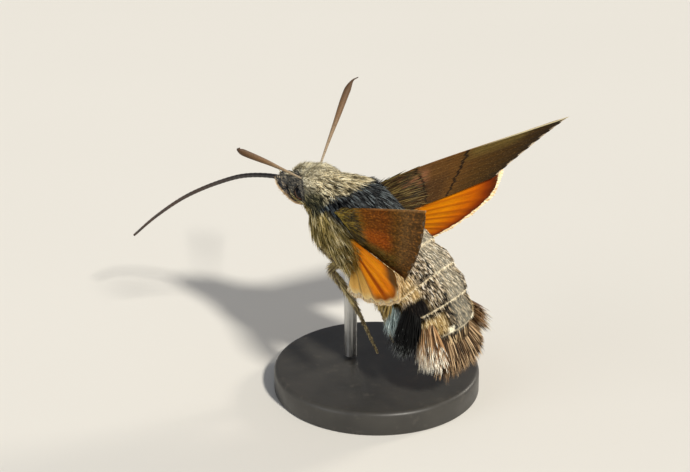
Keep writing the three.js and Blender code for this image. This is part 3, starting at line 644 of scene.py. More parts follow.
def forewing_material():
    """Brown with dark cross lines and painted rim light on the front edge above; rust between an olive base
    and a brown margin below, with painted shade on the olive rear part.
    """
    m = Material("forewing", roughness=0.75, specular=0.05)
    reach, share, upper = m.attributes("reach", "share", "upper")
    fine = wing_noise(m, 26.0, 120.0)
    speck = wing_noise(m, 70.0, 90.0, 2.0)
    wave = m.line(wing_noise(m, 2.0, 9.0), 0.10, reach)
    m.colour = m.ramp(wave, (0, 34, 26, 16), (0.14, 52, 37, 20), (0.3, 94, 64, 34), (0.5, 98, 66, 30),
                      (0.72, 76, 52, 20), (1, 50, 35, 12))
    m.paint((112, 94, 46), m.band(wave, 0.56, 0.86, 0.05), m.fade(share, 0.38, 0.1), 0.75)
    m.paint((162, 110, 80), m.band(wave, 0.2, 0.34, 0.03), m.band(share, 0.1, 0.5, 0.1), 0.5)
    m.paint((42, 29, 21), m.fade(share, 0.3, 0.55), m.fade(wave, 0.56, 0.44), 0.5)
    for place, slope, width in ((0.27, 0.10, 0.008), (0.54, 0.02, 0.010)):
        m.paint((18, 14, 12), m.band(m.line(share, -slope, wave), place - width, place + width, 0.006), 0.9)
    m.paint((30, 23, 17), m.fade(fine, 0.5, 0.36), 0.55)
    m.paint((152, 120, 76), m.fade(speck, 0.56, 0.7), 0.45)
    m.paint((40, 30, 20), m.fade(reach, 0.9, 0.98), 0.55)
    # painted highlight: a pale rim light along the front edge of the upper side, on its outer half
    m.paint((206, 198, 160), m.fade(share, 0.035, 0.0), m.fade(reach, 0.5, 0.8))
    above = m.colour

    mottle = wing_noise(m, 34.0, 34.0, 3.0)
    hairy = m.fade(wing_noise(m, 12.0, 60.0, 2.0), 0.4, 0.56)
    # painted shade, partly the rear's own dark olive hair: the rear part of the underside darkened
    rear = m.times(m.fade(share, 0.62, 0.86), m.fade(reach, 0.92, 0.6))
    m.colour = m.ramp(wave, (0, 112, 98, 18), (0.2, 104, 74, 4), (0.4, 122, 66, 2), (0.62, 120, 60, 2),
                      (0.76, 104, 68, 18), (0.86, 118, 86, 46), (1, 96, 66, 32))
    m.paint((58, 48, 10), rear, 0.85)
    m.paint((192, 88, 4), m.band(wave, 0.28, 0.68, 0.08), m.band(share, 0.4, 0.68, 0.12), 0.6)
    m.paint((60, 38, 8), m.fade(mottle, 0.54, 0.4), 0.5)
    m.paint((206, 128, 44), m.fade(mottle, 0.52, 0.66), 0.4)
    m.paint((172, 152, 74), m.math("MAXIMUM", m.fade(reach, 0.36, 0.12), m.times(rear, 0.5)), hairy, 0.8)
    m.paint((206, 150, 90), m.fade(share, 0.03, 0.012), m.fade(reach, 0.3, 0.5), 0.35)
    m.paint((58, 38, 10), m.fade(fine, 0.52, 0.36), 0.4)
    m.colour = m.mix(upper, m.colour, above)
    m.bump(m.math("ADD", fine, speck), 0.5, 0.00006)
    return m.done()


def hindwing_material():
    """Orange with darker rays and a rust border above; pale at the inner side and orange below."""
    m = Material("hindwing", roughness=0.75, specular=0.05)
    reach, share, upper = m.attributes("reach", "share", "upper")
    fine = wing_noise(m, 14.0, 130.0)
    rays = m.math("SINE", m.line(wing_noise(m, 1.2, 4.0, 1.0), 3.0, m.times(share, 75.0)))
    border = m.line(share, -0.14, m.math("ADD", reach, 0.05))
    m.colour = m.ramp(border, (0, 120, 80, 10), (0.3, 184, 108, 2), (0.62, 200, 118, 0), (0.82, 180, 88, 0),
                      (0.93, 118, 44, 2), (1, 74, 28, 4))
    m.paint((146, 64, 2), m.fade(rays, 0.1, 0.9), m.band(reach, 0.25, 0.9, 0.12), 0.5)
    m.paint((196, 158, 92), m.fade(share, 0.78, 0.98), m.fade(reach, 0.98, 0.7), 0.6)
    m.paint((120, 54, 10), m.fade(fine, 0.5, 0.34), 0.35)
    above = m.colour

    lobes = m.math("SINE", m.line(wing_noise(m, 2.0, 3.0, 1.0), 2.0, m.times(share, 34.0)))
    pale = m.ramp(reach, (0, 150, 136, 66), (0.5, 206, 158, 74), (0.85, 244, 190, 100), (1, 250, 222, 156))
    m.colour = m.ramp(reach, (0, 176, 156, 70), (0.22, 240, 140, 12), (0.6, 255, 156, 8), (0.84, 250, 140, 8),
                      (0.94, 156, 84, 14), (1, 240, 214, 152))
    m.paint((206, 92, 4), m.fade(lobes, 0.2, 1.0), m.band(reach, 0.2, 0.86, 0.1), 0.4)
    m.paint(pale, m.fade(share, 0.52, 0.66))
    for place, dark in ((0.6, (112, 84, 52)), (0.8, (128, 104, 64))):
        ray = m.band(share, place - 0.025, place + 0.025, 0.02)
        m.paint(dark, ray, m.band(reach, 0.1, 0.93, 0.08), 0.7)
    m.paint((138, 40, 6), m.band(share, 0.35, 0.41, 0.035), m.band(reach, 0.12, 0.92, 0.1), 0.8)
    m.paint((96, 64, 26), m.fade(share, 0.2, 0.08), m.fade(reach, 0.7, 0.92))
    m.paint((150, 84, 20), m.fade(fine, 0.52, 0.36), 0.3)
    m.colour = m.mix(upper, m.colour, above)
    m.bump(m.math("ADD", fine, m.times(rays, 0.3)), 0.5, 0.00006)
    return m.done()


def strand_material(name, *stops, tip_colour=None, tip_from=0.6, root_colour=None, light=0.12):
    """Long scales in a run of tones picked by each strand's seed, with tips or roots of another colour."""
    def colours(m, seed):
        m.colour = m.ramp(seed, *stops)
        tip, = m.attributes("tip")
        if tip_colour:
            m.paint(tip_colour, m.fade(m.line(seed, 0.2, tip), tip_from, tip_from + 0.12))
        if root_colour:
            m.paint(root_colour, m.fade(tip, 0.36, 0.18))

    return coat_material(name, colours, roughness=0.55, dark=0.4, light=light)


# Wing shapes, as in the CAD source

def wing_directions(side):
    """A wing's outward direction, its chord when held flat, and down from that chord."""
    sweep, rise = (math.radians(STROKE[side][key]) for key in ("sweep", "rise"))
    level = math.cos(rise)
    out = np.array([side * level * math.cos(sweep), level * math.sin(sweep), math.sin(rise)])
    _, back, _ = axis_at(0.0)
    flat_chord = unit(back - out * back.dot(out))
    return out, flat_chord, -side * unit(np.cross(out, flat_chord))


def chord_at(side, share, fold=0.0):
    _, flat_chord, down = wing_directions(side)
    angle = np.radians(STROKE[side]["pitch"] + STROKE[side]["twist"] * np.asarray(share, float) - fold)
    return column(np.cos(angle)) * flat_chord + column(np.sin(angle)) * down


def wing_root(side, s, height):
    centre, _, up = axis_at(s)
    return centre + side * WING_ROOT_WIDTH * LEFTWARD + column(height) * up


def blade_point(side, along, across, below):
    out, _, _ = wing_directions(side)
    share = along / FOREWING_LENGTH
    chord = chord_at(side, share)
    folded = chord_at(side, share, STROKE[side]["fold"])
    upper = side * unit(np.cross(out, chord))
    return (wing_root(side, WING_ROOT_S, WING_ROOT_HEIGHT) + column(along) * out
            + column(np.minimum(across, FOLD_LINE)) * chord
            + column(np.maximum(0, across - FOLD_LINE)) * folded - below * upper)


def vein_wave(wing, share):
    """1 on a wing's veins and -1 between them."""
    return np.cos(2 * np.pi * (share * wing["veins"] - 0.5))


def wing_sheet(side, wing, share, reach):
    """Middle surface of a wing and its upper normal, at shares across it and along its rays."""
    edge = smooth_curve(wing["edge"], 400)
    along, across = (np.interp(share * (len(edge) - 1), np.arange(len(edge)), line) for line in edge.T)
    span, chord = wing["spread"][side]
    tips = blade_point(side, along * span, across * chord, wing["below"])
    (s0, h0), (s1, h1) = wing["root_from"], wing["root_to"]
    roots = wing_root(side, s0 + (s1 - s0) * share, h0 + (h1 - h0) * share)
    tips = tips + column(wing["scallop"] * vein_wave(wing, share)) * unit(tips - roots)
    bow = wing["bulge"] * STROKE[side]["bow"] * (1 - share) + wing["dip"] * share
    middle = roots[:, None] + column(reach) * (tips - roots)[:, None]
    bend = np.sin(np.pi * np.sqrt(np.maximum(reach, 0)))
    middle = middle - column(bow[:, None] * bend) * chord_at(side, 0.3)
    normal = side * unit(np.cross(np.gradient(middle, axis=1), np.gradient(middle, axis=0)))
    return middle, normal


def make_wing(side_name, kind, wing, material):
    """A wing's blade: thickest at its base and on its veins, and thin at its rim."""
    side = SIDES[side_name]
    share = np.linspace(0, 1, 14 * wing["veins"] + 1)
    reach = np.linspace(-0.1, 1, 60)
    middle, normal = wing_sheet(side, wing, share, reach)
    vein = vein_wave(wing, share)[:, None]
    ridge = np.exp(4 * (vein - 1)) * smoothstep(reach, 0.12, 0.4) * VEIN_HEIGHT
    half = BLADE_HALF + BASE_SWELLING * (1 - smoothstep(reach, 0, 0.35)) + ridge
    edge_thinning = np.minimum(1, 0.35 + np.minimum(share, 1 - share)[:, None] * 40)
    half = half * (edge_thinning * (1 - 0.5 * smoothstep(reach, 0.95, 1)))
    middle = middle - column(VEIN_RIPPLE * vein * smoothstep(reach, 0.2, 0.7)) * normal
    points = np.stack([middle + column(half) * normal, middle - column(half) * normal]).reshape(-1, 3)

    rows, cols = middle.shape[:2]
    lower = rows * cols
    r, c = np.meshgrid(np.arange(rows - 1), np.arange(cols - 1), indexing="ij")
    quad = grid_faces(r, c, c + 1, cols)
    rim = np.concatenate([
        np.arange(cols), np.arange(2, rows + 1) * cols - 1,
        (rows - 1) * cols + np.arange(cols - 2, -1, -1), np.arange(rows - 2, 0, -1) * cols,
    ])
    after = np.roll(rim, -1)
    faces = np.vstack([quad, quad[:, ::-1] + lower, np.stack([rim, rim + lower, after + lower, after], -1)])
    if side == RIGHT:
        faces = faces[:, ::-1]
    grid_share, grid_reach = np.meshgrid(share, reach, indexing="ij")
    attributes = {
        "share": np.tile(grid_share.ravel(), 2),
        "reach": np.tile(grid_reach.ravel(), 2),
        "upper": np.repeat([1.0, 0.0], lower),
    }
    piece = make_object(f"{kind}_{side_name}_blade", points, faces, material, attributes)
    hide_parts(f"{kind}_{side_name}")


def wing_places(side, wing, share, reach):
    """Places, normals and outward directions at scattered coordinates on a wing."""
    rows, cols = 140, 60
    middle, normal = wing_sheet(side, wing, np.linspace(0, 1, rows + 1), np.linspace(0, 1, cols + 1))
    outward = unit(np.gradient(middle, axis=1))
    row = np.clip((share * rows).astype(int), 0, rows - 1)
    col = np.clip((reach * cols).astype(int), 0, cols - 1)
    read = grid_reader(row, col, col + 1, column(share * rows - row), column(reach * cols - col))
    return read(middle), unit(read(normal)), unit(read(outward))


def wing_fringe(side_name, kind, wing, material, count, length, tones=(0.0, 1.0)):
    """Short pale scales along the outer edge and the inner edge of a wing."""
    side = SIDES[side_name]
    rng = np.random.default_rng(31 + side + len(kind))
    share = 0.05 + 0.95 * rng.random(count)
    reach = 1 - 0.015 * rng.random(count)
    place, normal, outward = wing_places(side, wing, share, reach)
    place = place + column(0.03 * (rng.random(count) - 0.5)) * normal
    lie = stray(rng, outward, 0.15)
    size = length * (0.8 + 0.4 * rng.random(count))
    seed = tones[0] + (tones[1] - tones[0]) * rng.random(count)
    uv = (0.02 + 0.96 * share, 0.02 + 0.96 * reach)
    grow(f"{kind}_{side_name}_fringe", material, uv, {"seed": seed}, place - 0.1 * lie, lie,
         normal, size, width=0.12, settle=0.06)


def wing_base_hair(side_name, kind, wing, material, count):
    """Long thin scales that lie over the base of a wing, above and below."""
    side = SIDES[side_name]
    rng = np.random.default_rng(57 + side + len(kind))
    share = rng.random(count)
    reach = 0.02 + 0.2 * rng.random(count) ** 1.5
    place, normal, outward = wing_places(side, wing, share, reach)
    normal = normal * column(np.where(rng.random(count) < 0.5, 1.0, -1.0))
    lie = stray(rng, outward, 0.1)
    root = place + normal * column(0.12 + 0.1 * (1 - reach / 0.3))
    marks = {"seed": rng.random(count)}
    uv = (0.02 + 0.96 * share, 0.02 + 0.96 * reach)
    length = 1.2 + 1.0 * rng.random(count)
    grow(f"{kind}_{side_name}_base_hair", material, uv, marks, root, lie, normal, length,
         width=0.08, lift=0.03)


# Body

coat = coat_material("coat")


def build_skin():
    points, faces = tube_mesh(skin.place)
    s, turn = np.meshgrid(skin.s, skin.turn, indexing="ij")
    values = {"s": s, "high": np.sin(turn), "side": np.cos(turn)}
    attributes = {key: np.append(values[key].ravel(), [0, 0]) for key in values}
    attributes["s"][-2:] = skin.s[[0, -1]]
    turns = np.append(turn.ravel(), [0, 0])[faces]
    turns = np.where(turns.max(axis=1, keepdims=True) - turns > np.pi, turns + 2 * np.pi, turns)
    u = turns / (2 * np.pi) + 0.25
    u = u - np.floor(u.min(axis=1, keepdims=True) + 1e-9)
    v = (attributes["s"][faces] - SKIN_START) / (TAIL_END - SKIN_START)
    loop_uv = np.stack([0.01 + 0.98 * np.clip(u, 0, 1), 0.01 + 0.98 * v], -1)
    piece = make_object("body_skin", points, faces, skin_material(), attributes, loop_uv)
    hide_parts("thorax", "head", "abdomen", "tail_tuft")


def crest_border(turn):
    """Where the dark face ends and the crest begins, for each turn round the head."""
    return CREST_START - CREST_REACH * np.maximum(np.sin(turn), 0) ** CREST_POWER


def near_eye(place, margin):
    """Whether places lie within an eye's socket."""
    hit = np.zeros(len(place), bool)
    for side in SIDES.values():
        eye = head_place(side * EYE_PLACE[0], *EYE_PLACE[1:])
        hit |= np.linalg.norm(place - eye, axis=-1) < EYE_RADIUS + margin
    return hit


def coat_patch(name, seed, count, low, high, length, width, lift, settle,
               weight=lambda s, turn: 1.0, forward=0.0, down=0.0, spread=0.18, clear_eyes=0.0,
               sink=0.08, each=5, apart=0.1):
    """Scales on the skin between two distances, lying backwards unless forward or down turns them.

    They stand in small locks of a few each, whose members share a tone and lean together. A length
    or a lift is a number or a function of s and turn, and the angles are in degrees.
    """
    rng = np.random.default_rng(seed)
    locks = int(count * COAT_SHARE) // each
    count = locks * each
    s, turn = (np.repeat(v, each) for v in skin.scatter(rng, locks, low, high, weight))
    place, back, across, normal = skin.at(s, turn)
    aside, behind = column([0.5 * apart, 1.8 * apart]) * rng.normal(size=(2, count))
    place = place + column(aside) * across + column(behind) * back
    lie = back * (1 - 2 * forward) - column(down * np.sign(np.cos(turn))) * across
    lean = np.repeat(rng.normal(size=(locks, 3)), each, axis=0)
    lie = unit(lie + spread * lean + 0.04 * rng.normal(size=(count, 3)) - column(aside) * across)
    lie = unit(lie - normal * column((lie * normal).sum(-1)))
    size = (length(s, turn) if callable(length) else length) * (0.7 + 0.55 * rng.random(count))
    lift = np.radians(lift(s, turn) if callable(lift) else lift)
    rise = lift * np.repeat(0.6 + 0.8 * rng.random(locks), each)
    tone = np.clip(np.repeat(rng.random(locks), each) + 0.09 * rng.normal(size=count), 0, 1)
    run = (lie * back).sum(-1) * np.cos(rise)
    keep = ~near_eye(place, clear_eyes)
    place, s, turn, lie, normal, size, rise, tone, run = (
        values[keep] for values in (place, s, turn, lie, normal, size, rise, tone, run))
    marks = {"s": s, "run": run, "high": np.sin(turn), "side": np.cos(turn), "seed": tone}
    grow(name, coat, unwrap(s, turn), marks, place - sink * normal, lie, normal, size, width,
         rise, math.radians(settle))


def hump(s, turn):
    """1 on top of the neck, where the collar's hair stands highest, fading along and round it."""
    return np.exp(-((s + 3.3) / 1.3) ** 2) * smoothstep(np.sin(turn), 0.0, 0.8)


def underside(turn):
    return smoothstep(-np.sin(turn), 0.1, 0.6)


def build_coat():
    """Patches of scales: each call gives name, seed, count, start, end, length, width, lift, settle."""
    # Face: short scales that point towards the tongue
    coat_patch("face_scales", 1, 6400, SKIN_START, -5.2, 0.42, 0.085, 14, 4,
               weight=lambda s, t: s < crest_border(t) + 0.3, forward=1.0, clear_eyes=0.04,
               sink=0.04, each=2, apart=0.05)
    # Crown and collar: longer hair-like scales that stand up
    coat_patch("crown_scales", 2, 7400, -8.9, -4.6,
               lambda s, t: 0.85 + 0.1 * smoothstep(np.sin(t), 0.3, 0.9), 0.08, 34, 20,
               weight=lambda s, t: s > crest_border(t) - 0.1, forward=0.15, clear_eyes=0.24, spread=0.2)
    coat_patch("collar_scales", 3, 9600, -5.6, -2.8,
               lambda s, t: 1.1 + 0.2 * hump(s, t), 0.09, lambda s, t: 22 + 10 * hump(s, t), 10,
               spread=0.12, clear_eyes=0.2)
    # Thorax
    coat_patch("thorax_back_scales", 4, 18600, -3.6, 4.4,
               lambda s, t: 1.5 + 0.2 * hump(s, t), 0.095,
               lambda s, t: 17 + 8 * hump(s, t) - 6 * smoothstep(s, -1.8, -0.4), 5,
               weight=lambda s, t: np.sin(t) > -0.15, down=0.16, spread=0.07)
    coat_patch("thorax_under_scales", 5, 13000, -4.4, 4.6,
               lambda s, t: 1.6 + 0.6 * underside(t), 0.105, lambda s, t: 18 + 15 * underside(t), 9,
               weight=lambda s, t: np.sin(t) <= 0.05, down=0.3, spread=0.09)
    coat_patch("belly_scales", 7, 2200, 0.8, 3.8, 2.9, 0.1, 35, 18,
               weight=lambda s, t: np.sin(t) < -0.35, down=0.1, spread=0.12)
    # Long pale hair behind the wings' bases
    coat_patch("flank_scales", 6, 2600, -1.4, 2.6, 2.2, 0.1, 18, 8,
               weight=lambda s, t: np.abs(np.sin(t) + 0.06) < 0.2, down=0.2, spread=0.1)
    # Abdomen: flat scales on each plate that end at its rim, and a row of pale scales on the rim
    for k in range(PLATES):
        end = WAIST + (k + 1) * PLATE_LENGTH
        coat_patch(f"plate_{k + 1}_scales", 10 + k, 8000, end - PLATE_LENGTH - 0.1,
                   end - 0.05, lambda s, t: np.minimum(0.5 + 0.1 * k, np.maximum(0.16, end - s - 0.04)),
                   0.075, 13 + 6 * k, 2 + 4 * k, spread=0.1, sink=0.04, each=2, apart=0.04)
        coat_patch(f"rim_{k + 1}_scales", 20 + k, 1800, end - 0.2, end - 0.1, 0.24,
                   0.07, 26 + 2 * k, -4, spread=0.1, sink=0.02, each=1, apart=0.0)
    coat_patch("tail_scales", 30, 3200, ABDOMEN_END, TAIL_END - 0.4, 1.3, 0.12, 14, 2,
               spread=0.1)


# Side tufts and tail fan

SIDE_TUFTS = [
    {"name": "belly", "count": 900, "s": (5.8, 8.6), "turn": (-25, -75), "heading": (0.3, 0.65, 0.5),
     "length": 2.3, "sag": 0.3, "tones": [(0, 46, 36, 16), (0.4, 140, 116, 62), (1, 240, 214, 146)],
     "look": {}},
    {"name": "front", "count": 800, "s": (8.6, 10.6), "turn": (-38, -76), "heading": (0.3, 0.7, 0.5),
     "length": 3.1, "sag": 0.4, "tones": [(0, 92, 106, 110), (0.45, 190, 206, 204), (1, 246, 255, 252)],
     "look": {"root_colour": (112, 92, 44)}},
    {"name": "middle", "count": 1100, "s": (10.3, 12.0), "turn": (6, -46), "heading": (0.18, 0.78, 0.6),
     "length": 3.6, "sag": 0.4, "tones": [(0, 2, 2, 2), (0.7, 7, 7, 7), (1, 24, 22, 19)],
     "look": {"tip_colour": (176, 182, 178), "tip_from": 1.04, "light": 0.0}},
    {"name": "rear", "count": 1200, "s": (12.5, 14.0), "turn": (20, -62), "heading": (0.22, 1.0, -0.02),
     "length": 3.9, "sag": 0.15,
     "tones": [(0, 22, 15, 10), (0.28, 96, 68, 42), (0.55, 178, 138, 96), (1, 238, 214, 172)],
     "look": {"tip_colour": (255, 248, 228), "tip_from": 0.9}},
]
FAN_TIERS = [
    {"s": 14.7, "high": 0.75, "half": 2.9, "spread": 33, "length": 3.9},
    {"s": 15.1, "high": 0.1, "half": 3.1, "spread": 39, "length": 4.1},
    {"s": 14.9, "high": -0.65, "half": 2.7, "spread": 30, "length": 3.5},
]
FAN_COUNT = 1800


def build_side_tufts():
    looks = [strand_material(f"tuft_{tuft['name']}", *tuft["tones"], **tuft["look"]) for tuft in SIDE_TUFTS]
    for side_name, side in SIDES.items():
        for number, tuft in enumerate(SIDE_TUFTS):
            rng = np.random.default_rng(70 + number + 6 * side)
            count = tuft["count"]
            clump = np.floor(rng.random(count) * 14) / 14
            share = np.clip(clump + 0.05 * rng.normal(size=count), 0, 1)
            s = tuft["s"][0] + (tuft["s"][1] - tuft["s"][0]) * rng.random(count)
            slant = np.radians(tuft["turn"][0] + (tuft["turn"][1] - tuft["turn"][0]) * share)
            turn = slant if side == LEFT else np.pi - slant
            place, _, _, normal = skin.at(s, turn)
            _, back, up = axis_at(s)
            out, rear, down = tuft["heading"]
            out = out + 0.3 * (side == RIGHT)
            sway = 0.09 * np.sin(clump * 40 + number)
            lie = (column(out + 0.25 * np.cos(slant) + sway) * side * LEFTWARD
                   + column(rear + sway) * back + column(-down + 0.35 * np.sin(slant)) * up)
            lie = stray(rng, unit(lie), 0.085)
            length = tuft["length"] * (0.72 + 0.36 * rng.random(count)) * (0.9 + 0.16 * np.sin(clump * 60))
            seed = np.clip(0.75 * rng.random(count) + 0.25 * np.sin(clump * 90) ** 2, 0, 1)
            grow(f"tuft_{tuft['name']}_{side_name}", looks[number], unwrap(s, turn),
                 {"seed": seed}, place - 0.1 * normal, lie, normal, length, width=0.13,
                 sag=tuft["sag"], form=LONG, flat=0.22)


def build_fan():
    material = strand_material("fan_strands", (0, 10, 7, 5), (0.35, 52, 38, 26), (0.65, 116, 90, 62),
                               (1, 214, 186, 146), light=0.2)
    count = FAN_COUNT
    for number, tier in enumerate(FAN_TIERS):
        rng = np.random.default_rng(90 + number)
        clump = np.floor(rng.random(count) * 22) / 22
        across = np.clip(2 * clump - 1 + 0.07 * rng.normal(size=count), -1, 1)
        s = tier["s"] + 0.9 * (rng.random(count) - 0.5)
        centre, back, up = axis_at(s)
        angle = np.radians(across * tier["spread"]) + 0.03 * rng.normal(size=count)
        root = (centre + column(across * tier["half"] * 0.8) * LEFTWARD
                + column(tier["high"] * (1 - 0.5 * across**2)) * up)
        lie = unit(column(np.cos(angle)) * back + column(np.sin(angle)) * LEFTWARD
                   + column(0.16 * tier["high"] + 0.04 * rng.normal(size=count)) * up)
        face = np.sign(tier["high"])
        length = tier["length"] * (1 - 0.14 * across**2) * (0.7 + 0.34 * rng.random(count))
        length = length * (0.94 + 0.1 * np.sin(clump * 75))
        seed = np.clip(0.85 * rng.random(count) + 0.15 * np.sin(clump * 50) ** 2, 0, 1)
        uv = unwrap(s, face * (np.pi / 2 - across * 1.2))
        grow(f"fan_{number + 1}_strands", material, uv, {"seed": seed}, root, lie,
             face * up, length, width=0.12, settle=-0.1, sag=0.06, form=LONG, flat=0.22)


# Head parts

def build_eye_lids(side_name, centre, spot, wide, tall, material):
    """A ring of short scales that lie over the eye's rim, longer above and behind it."""
    rng = np.random.default_rng(170 + SIDES[side_name])
    count = 900
    angle = rng.random(count) * 2 * np.pi
    round_it = column(np.cos(angle)) * wide + column(np.sin(angle)) * tall
    above = np.clip((round_it @ CROWN) - 0.9 * (round_it @ AHEAD), 0, 1)
    tilt = np.radians(82 - 12 * rng.random(count) - 5 * above)
    normal = column(np.cos(tilt)) * spot + column(np.sin(tilt)) * round_it
    root = centre + normal * (EYE_RADIUS + 0.02)
    lie = stray(rng, column(np.sin(tilt)) * spot - column(np.cos(tilt)) * round_it, 0.12)
    length = 0.2 + 0.2 * above + 0.08 * rng.random(count)
    seed = np.clip(0.6 * rng.random(count) + 0.35 * (1 - above) * (rng.random(count) < 0.5), 0, 1)
    uv = (0.5 + 0.4 * np.cos(angle), 0.5 + 0.4 * np.sin(angle))
    grow(f"eye_{side_name}_lid_scales", material, uv, {"seed": seed}, root, lie, normal,
         length, width=0.07, lift=0.1)


def eye_material(name):
    """A glossy brown iris round a dark spot, which is a painted pseudopupil: the shade seen into the eye,
    fixed where it looks outwards.
    """
    m = Material(name, roughness=0.1, specular=0.18)
    oval, = m.attributes("oval")
    m.colour = m.mix(m.fade(m.noise(m.place(), 3200.0), 0.4, 0.65), (58, 30, 14), (112, 66, 32))
    # painted shade: the pseudopupil, a black oval held where the eye looks outwards and over its top
    m.paint((4, 4, 5), m.fade(oval, 0.5, 0.36))
    facets = m.node("ShaderNodeTexVoronoi", {"Vector": m.place(), "Scale": 22000.0})
    m.bump(facets.outputs["Distance"], 0.05, 0.00002)
    return m.done()


def build_eyes():
    lids = strand_material("eye_lid_scales", (0, 20, 22, 26), (0.55, 58, 62, 66), (0.8, 120, 104, 82),
                           (1, 226, 206, 170))
    for side_name, side in SIDES.items():
        centre = head_place(side * EYE_PLACE[0], *EYE_PLACE[1:])
        spot = unit(np.array([side * 0.916, 0.231, 0.33]))
        a, b = np.meshgrid(np.linspace(0, np.pi, 40), circle(64), indexing="ij")
        tall = unit(CROWN - spot * CROWN.dot(spot))
        wide = np.cross(tall, spot)
        left, high = np.sin(a) * np.cos(b), np.sin(a) * np.sin(b)
        ball = column(np.cos(a)) * spot + column(left) * wide + column(high) * tall
        points, faces = tube_mesh(centre + EYE_RADIUS * 0.99 * ball[1:-1])
        # oval is small round the painted pseudopupil, on the side that looks outwards, and on the top of the
        # eye
        oval = np.sqrt((left / 0.75) ** 2 + high**2) + (a > np.pi / 2)
        oval = oval * smoothstep(-(ball @ CROWN) + 0.5 * (ball @ AHEAD), -0.05, 0.45)
        values = np.append(oval[1:-1].ravel(), [0.0, oval[-2].mean()])
        look = eye_material(f"eye_{side_name}")
        piece = make_object(f"eye_{side_name}_globe", points, faces, look, {"oval": values})
        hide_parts(f"eye_{side_name}")
        build_eye_lids(side_name, centre, spot, wide, tall, lids)


def palp_colours(m, seed):
    high, = m.attributes("high")
    m.colour = m.ramp(seed, (0, 150, 118, 82), (0.5, 206, 174, 132), (1, 236, 214, 176))
    dark = m.ramp(seed, (0, 26, 29, 34), (0.6, 58, 62, 68), (0.85, 92, 84, 74), (1, 190, 176, 150))
    m.paint(dark, m.fade(high, -0.25, 0.1))


def build_palps():
    m = Material("palp_skin", roughness=0.7)
    m.colour = m.mix(m.fade(m.noise(m.place(), 900.0), 0.3, 0.7), (120, 92, 62), (170, 140, 100))
    core = m.done()
    scales = coat_material("palp_scales", palp_colours)
    rows, sides, count = 25, 20, 1500
    t = np.linspace(0, 1, rows + 1)
    radius = (PALP_HALF_WIDTH - 0.12) * np.sqrt(np.maximum(0.03, 1 - (2 * t - 1) ** 4))
    for side_name, side in SIDES.items():
        a, b, c = (head_place(side * 0.85, -0.5, -1.5), head_place(side * 0.86, 1.6, -1.5),
                   head_place(side * 0.55, PALP_LENGTH + 0.55, -0.6))
        line = column((1 - t) ** 2) * a + column(2 * t * (1 - t)) * b + column(t**2) * c
        rings = tube_rings(line, radius, sides)
        points, faces = tube_mesh(rings)
        piece = make_object(f"palp_{side_name}_core", points, faces, core)
        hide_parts(f"palp_{side_name}")
        rng = np.random.default_rng(140 + side)
        row, col = rng.integers(0, rows, count), rng.integers(0, sides, count)
        place = rings[row, col]
        normal = unit(place - line[row])
        lie = stray(rng, unit(np.gradient(line, axis=0))[row], 0.16)
        length = 0.34 + 0.25 * rng.random(count)
        marks = {"seed": rng.random(count), "high": normal @ CROWN}
        uv = (0.05 + 0.9 * row / rows, 0.05 + 0.9 * col / sides)
        grow(f"palp_{side_name}_scales", scales, uv, marks, place - 0.03 * normal, lie,
             normal, length, width=0.075, lift=0.3, settle=0.05)


def build_proboscis():
    places = [head_place(0, 1.4, -0.45), head_place(0, 3.6, -0.9)]
    outside = PROBOSCIS_LENGTH - np.linalg.norm(places[1] - places[0])
    for length, slope in PROBOSCIS_STRETCHES:
        step = np.array([0, -math.cos(math.radians(slope)), -math.sin(math.radians(slope))])
        places.append(places[-1] + step * length * outside)
    t = np.linspace(0, 1, 320)
    radius = (0.28 + (0.15 - 0.28) * t**2) * (1 + 0.035 * np.sin(t * len(t) * np.pi / 4))
    m = Material("proboscis", roughness=0.32, specular=0.5)
    along, = m.attributes("t")
    m.colour = m.mix(m.fade(along, 0.1, 0.7), (20, 17, 16), (58, 36, 20))
    m.paint((34, 24, 18), m.fade(m.noise(m.place(), 600.0), 0.45, 0.7))
    m.bump(m.math("SINE", m.times(along, 1500.0)), 0.4, 0.00002)
    line = smooth_curve(places, len(t))
    piece = tube("proboscis_tube", line, radius, 20, m.done(), squash=0.85)
    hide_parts("proboscis")


def antenna_material():
    m = Material("antenna", roughness=0.55)
    along, = m.attributes("t")
    rings = m.math("SINE", m.times(along, 2 * math.pi * ANTENNA_RINGS))
    grain = m.noise(m.place(), 4000.0)
    m.colour = m.ramp(along, (0, 190, 178, 156), (0.3, 158, 138, 112), (0.6, 122, 94, 66), (1, 70, 48, 32))
    m.paint((74, 56, 36), m.fade(rings, 0.2, 0.9), 0.45)
    m.paint((60, 48, 34), m.fade(grain, 0.5, 0.7), 0.4)
    m.bump(m.math("ADD", rings, grain), 0.5, 0.00003)
    return m.done()


def build_antennae():
    look = antenna_material()
    t = np.linspace(0, 1, 400)
    radius = 0.095 + 0.055 * smoothstep(t, 0.05, 0.35) + 0.2 * smoothstep(t, 0.25, 0.8)
    radius = radius * (1 - 0.85 * smoothstep(t, 0.84, 0.99))
    radius = radius * (1 + 0.05 * np.sin(2 * np.pi * ANTENNA_RINGS * t))
    for side_name, side in SIDES.items():
        base, heading, bend = ANTENNA[side]
        root = head_place(*base)
        first, second = unit(heading), unit(bend)
        elbow = root + first * ANTENNA_LENGTH * 0.5
        tip = elbow + second * ANTENNA_LENGTH * 0.5
        hook = tip + unit([side * 0.35, 0.45, 0.35]) * ANTENNA_HOOK
        line = smooth_curve([root - 0.6 * first, root, elbow, tip, hook], len(t))
        piece = tube(f"antenna_{side_name}_whip", line, radius, 18, look, squash=0.9)
        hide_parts(f"antenna_{side_name}")


# Legs

def leg_material():
    m = Material("leg", roughness=0.6)
    along, = m.attributes("t")
    grain = m.noise(m.place(), 2500.0)
    m.colour = m.mix(m.fade(grain, 0.35, 0.65), (84, 70, 52), (150, 132, 104))
    m.paint((206, 192, 160), m.fade(m.math("SINE", m.times(along, 60.0)), 0.7, 0.95), 0.4)
    m.bump(grain, 0.5, 0.00003)
    return m.done()


